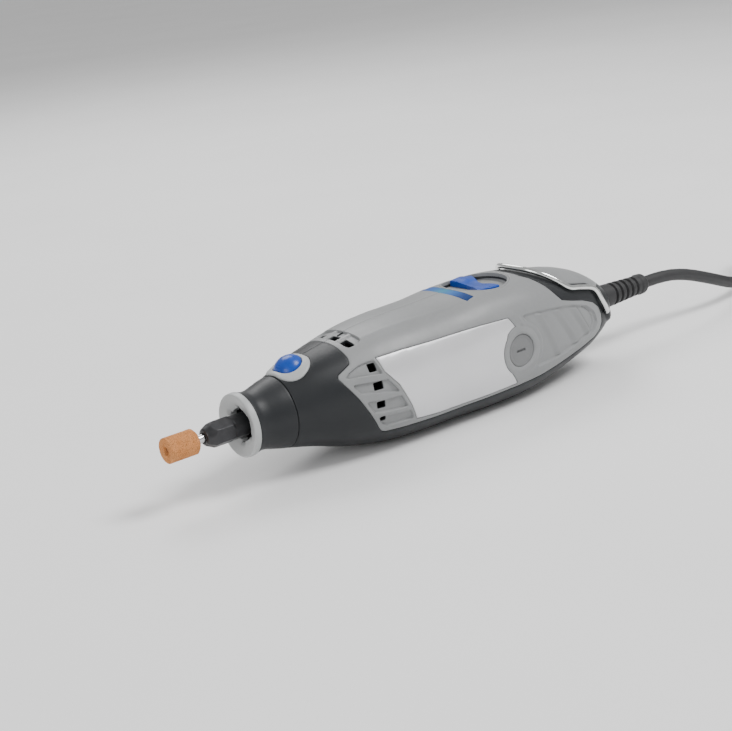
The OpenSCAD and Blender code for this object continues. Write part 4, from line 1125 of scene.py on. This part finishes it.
TOP_OPENINGS = [from_top(box(TOP_VENT_X + 0.9, y, 3.4, wide, 0.7)) for y, wide in TOP_VENTS]
SIDE_DIAL = circle_top(*DIAL, 14.05, 120)
LOCK_X = 25.0
BUTTON_HALF = 1.3         # half the straight part of the button's oval
BEZEL_HALF = 2.9
BEZEL = oval_top(LOCK_X, BEZEL_HALF, 6.8)
BEZEL_SEAT = oval_top(LOCK_X, BEZEL_HALF, 6.85)
BEZEL_HOLE = oval_top(LOCK_X, BUTTON_HALF, 4.75)
SCREWS = [(44, -15.5), (36.8, 13.8), (108, -18.2), (150, -13.2)]
SCREW_R = 3.1
PIVOT = (172.0, 0.6)


def edge_lines(loop, inwards, reach=0.35):
    """Lines that the mesh follows along a rounded edge."""
    sign = 1 if inwards else -1
    return [(offset(spaced(loop, 0.5), sign * reach * share), True) for share in (0.12, 0.4, 1.0)]


# ---------------------------------------------------------------- housing
COVER_T = 1.4
WALL = 2.4
SHELL_EDGE = 0.22
SIDE_SCREW_LOOPS = [circle_side(x, z, SCREW_R, 40) for x, z in SCREWS]


def shell_outline():
    along = np.concatenate([np.arange(SEAM_X, BODY_END, 0.8), [BODY_END]])
    low = np.column_stack([along, half_round(along)])
    return np.concatenate([np.column_stack([along, np.zeros(len(along))]), low[::-1]])


SHELL = shell_outline()
PIVOT_BUMP = from_side([(174.6, -1.2)])[0]


def shell_relief(holes):
    def relief(p):
        x, s = p[:, 0], p[:, 1]
        to_seam = np.minimum(s, half_round(x) - s)
        h = rolled(np.maximum(to_seam, 0), SHELL_EDGE)
        h = h + rolled(np.maximum(x - SEAM_X, 0), 0.35) + rolled(np.maximum(BODY_END - x, 0), 1.1)
        for loop in (COVER, TAIL, BEZEL_SEAT):
            h = np.minimum(h, pocket(signed(p, loop), COVER_T, 0.3) + np.minimum(h, 0) * 0.3)
        for loop in holes:
            h = h + rolled(line_distance(p, loop), 0.3)
        away = np.hypot(x - PIVOT_BUMP[0], s - PIVOT_BUMP[1])
        return h + 1.25 * eased(1.5 * (1 - away / 4.0))

    return relief


def shell_thickness(p):
    return np.interp(p[:, 0], [0, 177, BODY_END], [WALL, WALL, 1.6])


def half_ring(x0, x1, r0, r1, count=48):
    """Half of a flat ring about the axis, on the left side."""
    turns = np.linspace(0.002, math.pi - 0.002, count)
    points = [(x, -r * math.sin(a), r * math.cos(a)) for a in turns
              for x, r in ((x0, r0), (x0, r1), (x1, r1), (x1, r0))]
    faces = [(4 * i + k, 4 * i + (k + 1) % 4, 4 * i + 4 + (k + 1) % 4, 4 * i + 4 + k)
             for i in range(count - 1) for k in range(4)]
    end = 4 * (count - 1)
    return outwards(np.array(points), faces + [(0, 3, 2, 1), (end, end + 1, end + 2, end + 3)])


def screw_well(x, z, count=40):
    """Wall of a screw's well, from its floor out to the surface, on the left side."""
    turns = np.linspace(0, 2 * math.pi, count, endpoint=False)
    rings = []
    for radius, sunk in ((SCREW_R, None), (SCREW_R, 0.35), (SCREW_R + 0.8, 0.6), (SCREW_R + 0.8, None)):
        px, pz = x + radius * np.cos(turns), z + radius * np.sin(turns)
        wide, half, middle, square = section(px)
        out = wide * np.clip(1 - np.abs((pz - middle) / half) ** square, 0, 1) ** (1 / square)
        rings.append(np.column_stack([px, -(np.full(count, 7.6) if sunk is None else out - sunk), pz]))
    return hooped(rings)


def make_housing(side):
    """One dark half of the housing, with sunk areas for the covers."""
    openings = [oval_top(LOCK_X, BUTTON_HALF, 5.7), circle_top(*DIAL, 13.2, 90), circle_side(*BRUSH, 6.0, 60)]
    openings += SIDE_OPENINGS + TOP_OPENINGS + [circle_side(*PIVOT, 1.2, 20)]
    screws = SIDE_SCREW_LOOPS if side > 0 else []
    lines = edge_lines(SHELL, True)
    for loop in (COVER, TAIL, BEZEL_SEAT):
        lines += pocket_lines(spaced(loop, 0.5), 0.3)
    for loop in openings + screws:
        lines += edge_lines(loop, False, 0.3)
    zones = [(SEAM_X, 46, 0, 60, 0.9), (164, BODY_END, 0, 60, 0.7)]
    holes = openings + screws
    mesh = skin([SHELL], holes, lines, shell_relief(holes), shell_thickness, 1.5, zones)
    parts = [mesh, half_ring(SEAM_X + 0.02, 20.3, 9.6, 12.4)]
    if side > 0:
        parts += [screw_well(x, z) for x, z in SCREWS]
    name = "housing_left" if side < 0 else "housing_right"
    points, faces = on_side(joined(*parts), side)
    make_piece(name + "_visual", points, faces, "housing", "housing", [name])


# ---------------------------------------------------------------- grey covers
COVER_EDGE = 0.35
PANEL_DEPTH = 0.66
CHANNEL_DEPTH = 0.95
# Channels behind the arrow, between its ribs, seen from the side
CHANNELS = [
    from_side(spaced(soften(outline, radius), 0.4)) for outline, radius in (
        ([(37.6, 9.9), (39.6, 11.6), (43.8, 13.2), (47.5, 13.8), (50.2, 13.9), (51.9, 8.6),
          (46.7, 9.3)], 0.7),
        ([(39.0, 7.4), (45.9, 6.7), (53.3, 6.3), (56.8, 1.6), (57.2, 0.4), (52, 1.5), (41.5, 3.6)], 0.8),
        ([(43.2, -0.2), (51.6, -1.1), (57.9, -1.2), (60.6, -6.3), (54.4, -6.1), (46.1, -5.2)], 0.8),
        ([(47.4, -7.0), (55.5, -7.9), (61.7, -8.2), (63.4, -12.0), (52.0, -12.0), (49.4, -10.7)], 0.8))]
TOP_RECESS = from_top(box(48.1, 0.0, 6.8, 23.0, 2.6))
GRIP_SIDE = np.concatenate([
    arc(*BRUSH, 11.3, -48, 66, 24),
    soften([(122.6, 9.8), (120.2, 13.0), (128.8, 12.4), (143, 10.6), (150, 9.3), (157.9, 7.1), (163.1, 3),
            (164.9, -1.8), (162.7, -4.9), (153.7, -7.1), (144.2, -8.6), (135.9, -9.4), (127.2, -9.6),
            (125.6, -8.9)], [0, 1.2, 3, 3, 3, 3, 3, 2, 2, 3, 3, 3, 1.5, 0], False)])
GRIP = from_side(spaced(GRIP_SIDE, 0.5))
GRIP_DEPTH = 0.85
GROOVE_DEPTH = 0.35
GROOVE_WIDTH = 0.35
BOSS_GROOVE_R = 9.75
BOSS_INNER_R = 7.6
# Steep rear edges of the three slanted grip bars, from top to bottom
BARS = [[(131, 11.9), (135.6, 3), (141.2, -8.6)], [(141.2, 11.0), (146.3, 3.4), (152.8, -6.2)],
        [(151.6, 9.0), (155.4, 2.6), (160.6, -5.2)]]
BAR_REACH = (4.2, 5.2, 4.4)
END_ARC = [(155.6, 7.4), (159.3, 5.2), (161.8, 1.6), (162.2, -1.4), (160.4, -3.4)]
CREASE = from_top([(51.5, -10.4), (65.1, -11.6), (75.9, -12.6), (84.4, -13.4), (94.3, -13.9), (103, -14.6)])
STRAP = from_side([(113.9, 15.2), (118.2, 12.6), (120.2, 9.4)])


def scale_outline(grow=0.0):
    """The speed scale's band: a short arc across the top, seen from above."""
    far, half = 60.0, 2.2 + grow
    reach = math.degrees(math.asin((14 + grow) / far))
    outer = arc(SCALE_X + far, 0, far + half, 180 + reach, 180 - reach, 40)
    inner = arc(SCALE_X + far, 0, far - half, 180 - reach, 180 + reach, 40)
    return from_top(spaced(np.concatenate([outer, inner]), 0.5))


SCALE_X = 101.6


def grip_bars(p, depth_in):
    """Heights of the grip bars over the recess: soft in front, steep behind, with a groove after each."""
    h = np.zeros(len(p))
    fade = eased((depth_in - 0.5) / 0.9)
    for bar, reach in zip(BARS, BAR_REACH):
        edge = from_side(bar)
        w = (p[:, 0] - np.interp(p[:, 1], edge[:, 1], edge[:, 0])) * 0.86
        rise = eased((w + reach) / (reach * 0.8)) * (1 - eased((w + 0.32) / 0.4))
        h = np.maximum(h, (GRIP_DEPTH - 0.05) * rise)
        h = h - GROOVE_DEPTH * np.exp(-((w - 0.3) / GROOVE_WIDTH) ** 2)
    return h * fade


def cover_relief(holes, outline):
    channels_and_recess = CHANNELS + [TOP_RECESS]
    band = scale_outline(0.06)
    end_arc = from_side(END_ARC)

    def relief(p):
        x, s = p[:, 0], p[:, 1]
        h = rolled(line_distance(p, outline), COVER_EDGE)
        for loop in holes:
            h = h + rolled(line_distance(p, loop), 0.35)
        for loop in channels_and_recess:
            h = np.minimum(h, pocket(signed(p, loop), CHANNEL_DEPTH, 0.3, 0.25) + h * 0.2)
        rib = np.abs(s - 4.1)
        in_recess = signed(p, TOP_RECESS)
        h = np.where(in_recess > 0, np.maximum(h, -0.35 - 0.6 * eased((rib - 0.7) / 0.35)), h)
        h = np.minimum(h, pocket(signed(p, PANEL), PANEL_DEPTH, 0.25) + h * 0.2)
        h = np.minimum(h, pocket(signed(p, band), 0.45, 0.15) + h * 0.2)
        inside_grip = signed(p, GRIP)
        sunk = -GRIP_DEPTH * eased((inside_grip + 0.25) / 0.9)
        h = h + sunk + np.where(inside_grip > 0, grip_bars(p, inside_grip), 0)
        groove = GROOVE_DEPTH * np.exp(-(line_distance(p, end_arc, False) / GROOVE_WIDTH) ** 2)
        h = h - groove * (inside_grip > 0)
        away = np.hypot(x - BRUSH[0], s - from_side([BRUSH])[0][1])
        h = h - 0.3 * np.exp(-((away - BOSS_GROOVE_R) / 0.45) ** 2) * eased((x - 113) / 4)
        h = h - 0.35 * eased((BOSS_INNER_R - away) / 1.1)
        h = h + 0.22 * np.exp(-(line_distance(p, CREASE, False) / 0.9) ** 2)
        return h + 0.25 * np.exp(-(line_distance(p, STRAP, False) / 0.8) ** 2)

    return relief


def make_cover(side):
    """A grey cover: arrow with air channels, seat for the panel, brush boss and slanted grip bars."""
    outline = offset(spaced(COVER, 0.5), 0.07)
    outline = np.column_stack([outline[:, 0], np.maximum(outline[:, 1], 0.02)])
    screws = SIDE_SCREW_LOOPS if side > 0 else []
    holes = SIDE_OPENINGS + TOP_OPENINGS + [SIDE_DIAL, circle_side(*BRUSH, 6.6, 80)] + screws
    lines = edge_lines(outline, True)
    for loop in CHANNELS + [TOP_RECESS]:
        lines += pocket_lines(loop, 0.3, 0.25)
    lines += pocket_lines(PANEL) + pocket_lines(scale_outline(0.06), 0.15)
    lines += [(offset(GRIP, by), True) for by in (-0.25, 0.1, 0.4, 0.65)]
    for loop in holes:
        lines += edge_lines(loop, False)
    for bar in BARS:
        for shift in (-0.4, -0.1, 0.12, 0.35, 0.7):
            line = from_side(smooth_line(bar, 0.5)) + (shift, 0)
            lines.append((line[signed(line, GRIP) > 0.3], False))
    s_top = from_side([(48.0, 15.0)])[0][1]
    s_low = from_side([(56.0, -13.0)])[0][1]
    g_top = from_side([(122.0, 14.0)])[0][1]
    g_low = from_side([(130.0, -10.5)])[0][1]
    zones = [(36, 65, s_top, s_low, 0.5), (119, 167, g_top, g_low, 0.5), (44, 52.5, 0, 13, 0.45)]
    mesh = skin([outline], holes, lines, cover_relief(holes, outline), 1.3, 1.1, zones)
    name = "cover_left" if side < 0 else "cover_right"
    points, faces = on_side(mesh, side)
    make_piece(name + "_visual", points, faces, "cover", "housing", [name])


def make_panel(side):
    """A satin silver panel let into the cover."""
    outline = offset(PANEL, 0.2)

    def relief(p):
        return rolled(line_distance(p, outline), 0.3) - 0.06

    mesh = skin([outline], [], edge_lines(outline, True, 0.3), relief, 0.6, 1.2)
    name = "panel_left" if side < 0 else "panel_right"
    points, faces = on_side(mesh, side)
    make_piece(name + "_visual", points, faces, "panel", "housing", [name])


def make_tail_cap():
    """The grey hump over the tail."""
    outline = offset(spaced(TAIL, 0.5), 0.07)

    def relief(p):
        return rolled(line_distance(p, outline), 0.5)

    mesh = skin([outline], [], edge_lines(outline, True, 0.5), relief, 1.3, 1.1)
    make_piece("tail_cap_visual", *mesh, "cover", "housing", ["tail_cap"])


def make_scale():
    """The printed band ahead of the dial."""
    outline = scale_outline()

    def relief(p):
        return rolled(line_distance(p, outline), 0.15) - 0.04

    mesh = skin([outline], [], edge_lines(outline, True, 0.15), relief, 0.4, 0.9)
    make_piece("speed_scale_visual", *mesh, "blue_print", "housing", ["speed_scale"])


def make_bezel():
    """The pale oval round the lock button, proud of the housing."""
    def relief(p):
        to_rim = line_distance(p, BEZEL)
        crown = 0.5 - 0.62 * (1 - np.sqrt(1 - np.clip(1 - to_rim / 1.1, 0, 1) ** 2))
        return crown + rolled(line_distance(p, BEZEL_HOLE), 0.55)

    lines = edge_lines(BEZEL, True, 0.8) + edge_lines(BEZEL_HOLE, False, 0.5)
    mesh = skin([BEZEL], [BEZEL_HOLE], lines, relief, 1.3, 0.7)
    make_piece("lock_bezel_visual", *mesh, "pale_plastic", "housing", ["lock_bezel"])


# ---------------------------------------------------------------- button, dial and brush caps
BUTTON_R = 4.62
BUTTON_LOW = 13.4
DOME_R = 6.7
DOME_X = LOCK_X + 1.3
DOME_Z = 12.9


def make_button():
    """The blue lock button: an oval with a domed top."""
    outline = oval(LOCK_X, BUTTON_HALF, BUTTON_R, 30)

    def dome(x, y):
        square = DOME_R ** 2 - (x - DOME_X) ** 2 - y ** 2
        return DOME_Z + np.sqrt(np.maximum(square, 0.5))

    shares = (0.9, 0.8, 0.68, 0.55, 0.42, 0.3, 0.18, 0.08)
    points, faces = capped_plate(outline, (LOCK_X, 0.0), BUTTON_LOW, dome, 0.5, 6, shares)
    make_piece("lock_button_visual", points, faces, "blue_plastic", "lock_button", ["lock_button"])


DIAL_FLOOR = 21.6
DIAL_R = 12.4
STEM_R = 3
STEM_LOW = 16
DIAL_TURN = 12
WAIST_HALF = 2.9


def make_dial():
    """The dark blue bow tie that is turned to set the speed."""
    lobes = [arc(0, 0, DIAL_R - 0.02, a - 24, a + 24, 10) for a in (90, 270)]
    left = [(-WAIST_HALF, 1.4), (-WAIST_HALF, -1.4)]
    right = [(WAIST_HALF, -1.4), (WAIST_HALF, 1.4)]
    corners = np.concatenate([lobes[0], left, lobes[1], right])
    radii = ([1.4] + [0] * 9 + [1.4] + [3, 3]) * 2
    outline = spaced(soften(corners, radii, True, 6), 0.5)

    def top(x, y):
        out = np.hypot(x, y) / DIAL_R
        ridge = 0.4 * np.exp(-(x / 2.3) ** 2) * eased((out - 0.25) / 0.3)
        return DIAL_FLOOR + 1.5 + 0.95 * eased(out / 0.8) + ridge

    share = [1 - k / 24 for k in range(1, 24)]
    points, faces = capped_plate(outline, (0.0, 0.0), DIAL_FLOOR + 0.1, top, 0.45, 6, share)
    stem_top = DIAL_FLOOR + 0.2
    corners = [(STEM_LOW, 0), (STEM_LOW, STEM_R), (stem_top, STEM_R), (stem_top, 0)]
    stem = turned_mesh(eased_profile(corners, 0.2), 40)
    stem = outwards(stem[0][:, (2, 1, 0)], stem[1])
    points, faces = joined((points, faces), stem)
    turn = math.radians(-DIAL_TURN)
    flat = points[:, :2].copy()
    points[:, 0] = DIAL[0] + flat[:, 0] * math.cos(turn) - flat[:, 1] * math.sin(turn)
    points[:, 1] = flat[:, 0] * math.sin(turn) + flat[:, 1] * math.cos(turn)
    make_piece("speed_dial_visual", points, faces, "blue_plastic", "speed_dial", ["speed_dial"])


def make_seat():
    """The round dish that the dial turns in, its rim flush with the cover."""
    count = 160
    turns = np.linspace(0, 2 * math.pi, count, endpoint=False)
    level = [(3.1, 20.4), (3.1, 21.5), (3.2, DIAL_FLOOR), (4, DIAL_FLOOR), (7, DIAL_FLOOR), (10, DIAL_FLOOR),
             (12.4, DIAL_FLOOR), (12.85, DIAL_FLOOR + 0.06), (13.05, DIAL_FLOOR + 0.25)]
    # Radius and depth under the roof
    rim = [(13.1, 0.35), (13.16, 0.16), (13.32, 0.03), (13.5, 0.0), (13.72, 0.02), (13.9, 0.12), (13.98, 0.3)]
    rings = []
    for radius, height in level:
        rings.append(np.column_stack([DIAL[0] + radius * np.cos(turns), radius * np.sin(turns),
                                      np.full(count, height)]))
    for radius, depth in rim:
        x, y = DIAL[0] + radius * np.cos(turns), radius * np.sin(turns)
        rings.append(np.column_stack([x, y, np.maximum(roof(x, y) - depth, DIAL_FLOOR + 0.3 - 0.1 * depth)]))
    radius, height = rim[-1][0], level[0][1]
    rings.append(np.column_stack([DIAL[0] + radius * np.cos(turns), radius * np.sin(turns),
                                  np.full(count, height)]))
    points, faces = hooped(rings)
    make_piece("dial_seat_visual", points, faces, "cover", "housing", ["dial_seat"])


def make_brush_cap(side):
    """A screwed cap over a motor brush, with a short slot for a screwdriver."""
    count = 120
    turns = np.linspace(0, 2 * math.pi, count, endpoint=False)
    face = 24.05
    stations = [(3.0, 17.3), (3.0, 20.5), (0.01, 20.5)]
    rings = []
    outside = [(5.0, 17.3), (5.0, 21.9), (6.48, 21.95), (6.5, 23.65), (6.45, 23.85), (6.3, 24.0), (6.1, face)]
    inner = [(r, face - 0.12 * eased((5.6 - r) / 0.5)) for r in np.arange(5.9, 0.05, -0.17)]
    for radius, y in stations[::-1] + outside + inner:
        x, z = radius * np.cos(turns), radius * np.sin(turns)
        depth = 0.85 * eased((0.5 - np.abs(z)) / 0.14 + 0.5) * eased((2.2 - np.abs(x)) / 0.2 + 0.5)
        out = np.full(count, y) - (depth if y > 23.9 else 0)
        rings.append(np.column_stack([BRUSH[0] + x, -out, BRUSH[1] + z]))
    points, faces = on_side(stacked(rings), side)
    name = "brush_cap_left" if side < 0 else "brush_cap_right"
    make_piece(name + "_visual", points, faces, "insulator", "housing", [name], look="cap_plastic")


# ---------------------------------------------------------------- guard and hanger
def make_guard():
    """The ribbed sleeve that the cord leaves the tool through."""
    def sleeve(x):
        return 5.65 - (x - 178) / 35.5 * 1.75

    bore = CORD_D / 2 + 0.08
    profile = [(175, bore), (175, 7.2), (177.4, 7.2), (177.7, sleeve(178)), (184.5, sleeve(184.5)),
               (191.2, sleeve(191.2))]
    for i in range(5):
        x = 192 + i * 3.4
        deep = sleeve(x) - 0.9
        profile += [(x, sleeve(x)), (x + 0.3, deep), (x + 1.3, deep), (x + 1.6, sleeve(x))]
    profile += [(209.2, sleeve(209.2)), (210, 4.55), (212.4, 4.4), (GUARD_END, 3.75), (GUARD_END, bore)]
    points, faces = turned_mesh(soften(profile, [0.15] * len(profile), True, 3), 96)
    make_piece("cord_guard_visual", points, faces, "rubber", "housing", ["cord_guard"])


WIRE_D = 2.2
WIRE_OFF = WIRE_D / 2 + 0.5


def beside(x, z):
    """A place of the wire beside the body."""
    wide, half, middle, square = section(x)
    out = wide * (1 - abs((z - middle) / half) ** square) ** (1 / square)
    return (x, float(-out - WIRE_OFF), z)


def above(x, y):
    return (x, y, float(roof(x, y)) + WIRE_OFF)


def make_hanger():
    """The wire bail: two arms joined over the tail, its ends bent into the housing."""
    px, pz = PIVOT
    bend = beside(px, pz)
    arm = [beside(px - 1.6, pz + 2.6), beside(168.6, 6), beside(166.3, 10.8), beside(163.6, 12.9),
           beside(157, 14.7), beside(151, 16.2), above(146.4, -16.4), above(142.6, -13), above(139.4, -8),
           above(138.2, -3)]
    over = arm + [(x, -y, z) for x, y, z in arm[::-1]]
    middle = smooth_line(over, 0.6)
    start = soften([(px, -13.5, pz), bend, tuple(middle[2])], [0, 1.3, 0], False, 8)
    end = start[::-1] * (1, -1, 1)
    line = np.concatenate([spaced(start, 0.5, False), middle[3:-3], spaced(end, 0.5, False)])
    points, faces = swept(line, WIRE_D / 2, 24)
    make_piece("hanger_visual", points, faces, "chrome", "hanger", ["hanger"], sharp=60)


make_ring()
make_nose_cap()
make_nut()
make_stone()
for side in (-1, 1):
    make_housing(side)
    make_cover(side)
    make_panel(side)
    make_brush_cap(side)
make_tail_cap()
make_scale()
make_bezel()
make_button()
make_dial()
make_seat()
make_guard()
make_hanger()


# ---------------------------------------------------------------- floor and light
def floor_material():
    n = Nodes("pale_floor")
    base = n.mix(n.level(n.noise(160.0, 2.0), 0.0, 1.0), (0.88, 0.88, 0.88), (0.91, 0.91, 0.91))
    n.set(Base_Color=base, Roughness=n.level(n.noise(30.0), 0.6, 0.7), Specular_IOR_Level=0.2)
    n.set(Normal=n.bump(n.noise(0.8, 3.0), 0.01))
    return n.material


def make_floor():
    size = 12.0
    mesh = bpy.data.meshes.new("floor")
    corners = [(-size, -size, 0), (size, -size, 0), (size, size, 0), (-size, size, 0)]
    mesh.from_pydata(corners, [], [(0, 1, 2, 3)])
    mesh.materials.append(floor_material())
    floor = bpy.data.objects.new("floor", mesh)
    bpy.context.scene.collection.objects.link(floor)


def soft_light(name, spot, size, power):
    """A large lamp that faces the tool."""
    data = bpy.data.lights.new(name, "AREA")
    data.shape = "DISK"
    data.size = size
    data.energy = power
    lamp = bpy.data.objects.new(name, data)
    lamp.location = spot
    lamp.rotation_euler = (-Vector(spot)).to_track_quat("-Z", "Y").to_euler()
    bpy.context.scene.collection.objects.link(lamp)


def make_world():
    world = bpy.data.worlds.new("world")
    world.use_nodes = True
    background = world.node_tree.nodes["Background"]
    background.inputs["Color"].default_value = (1.0, 1.0, 1.0, 1.0)
    background.inputs["Strength"].default_value = 0.55
    bpy.context.scene.world = world


make_floor()
make_world()
soft_light("key", (0.55, -0.6, 1.15), 0.6, 17)
soft_light("fill", (-1.3, -0.5, 0.6), 0.8, 7)
soft_light("back", (0.3, 0.9, 1.0), 0.8, 9)
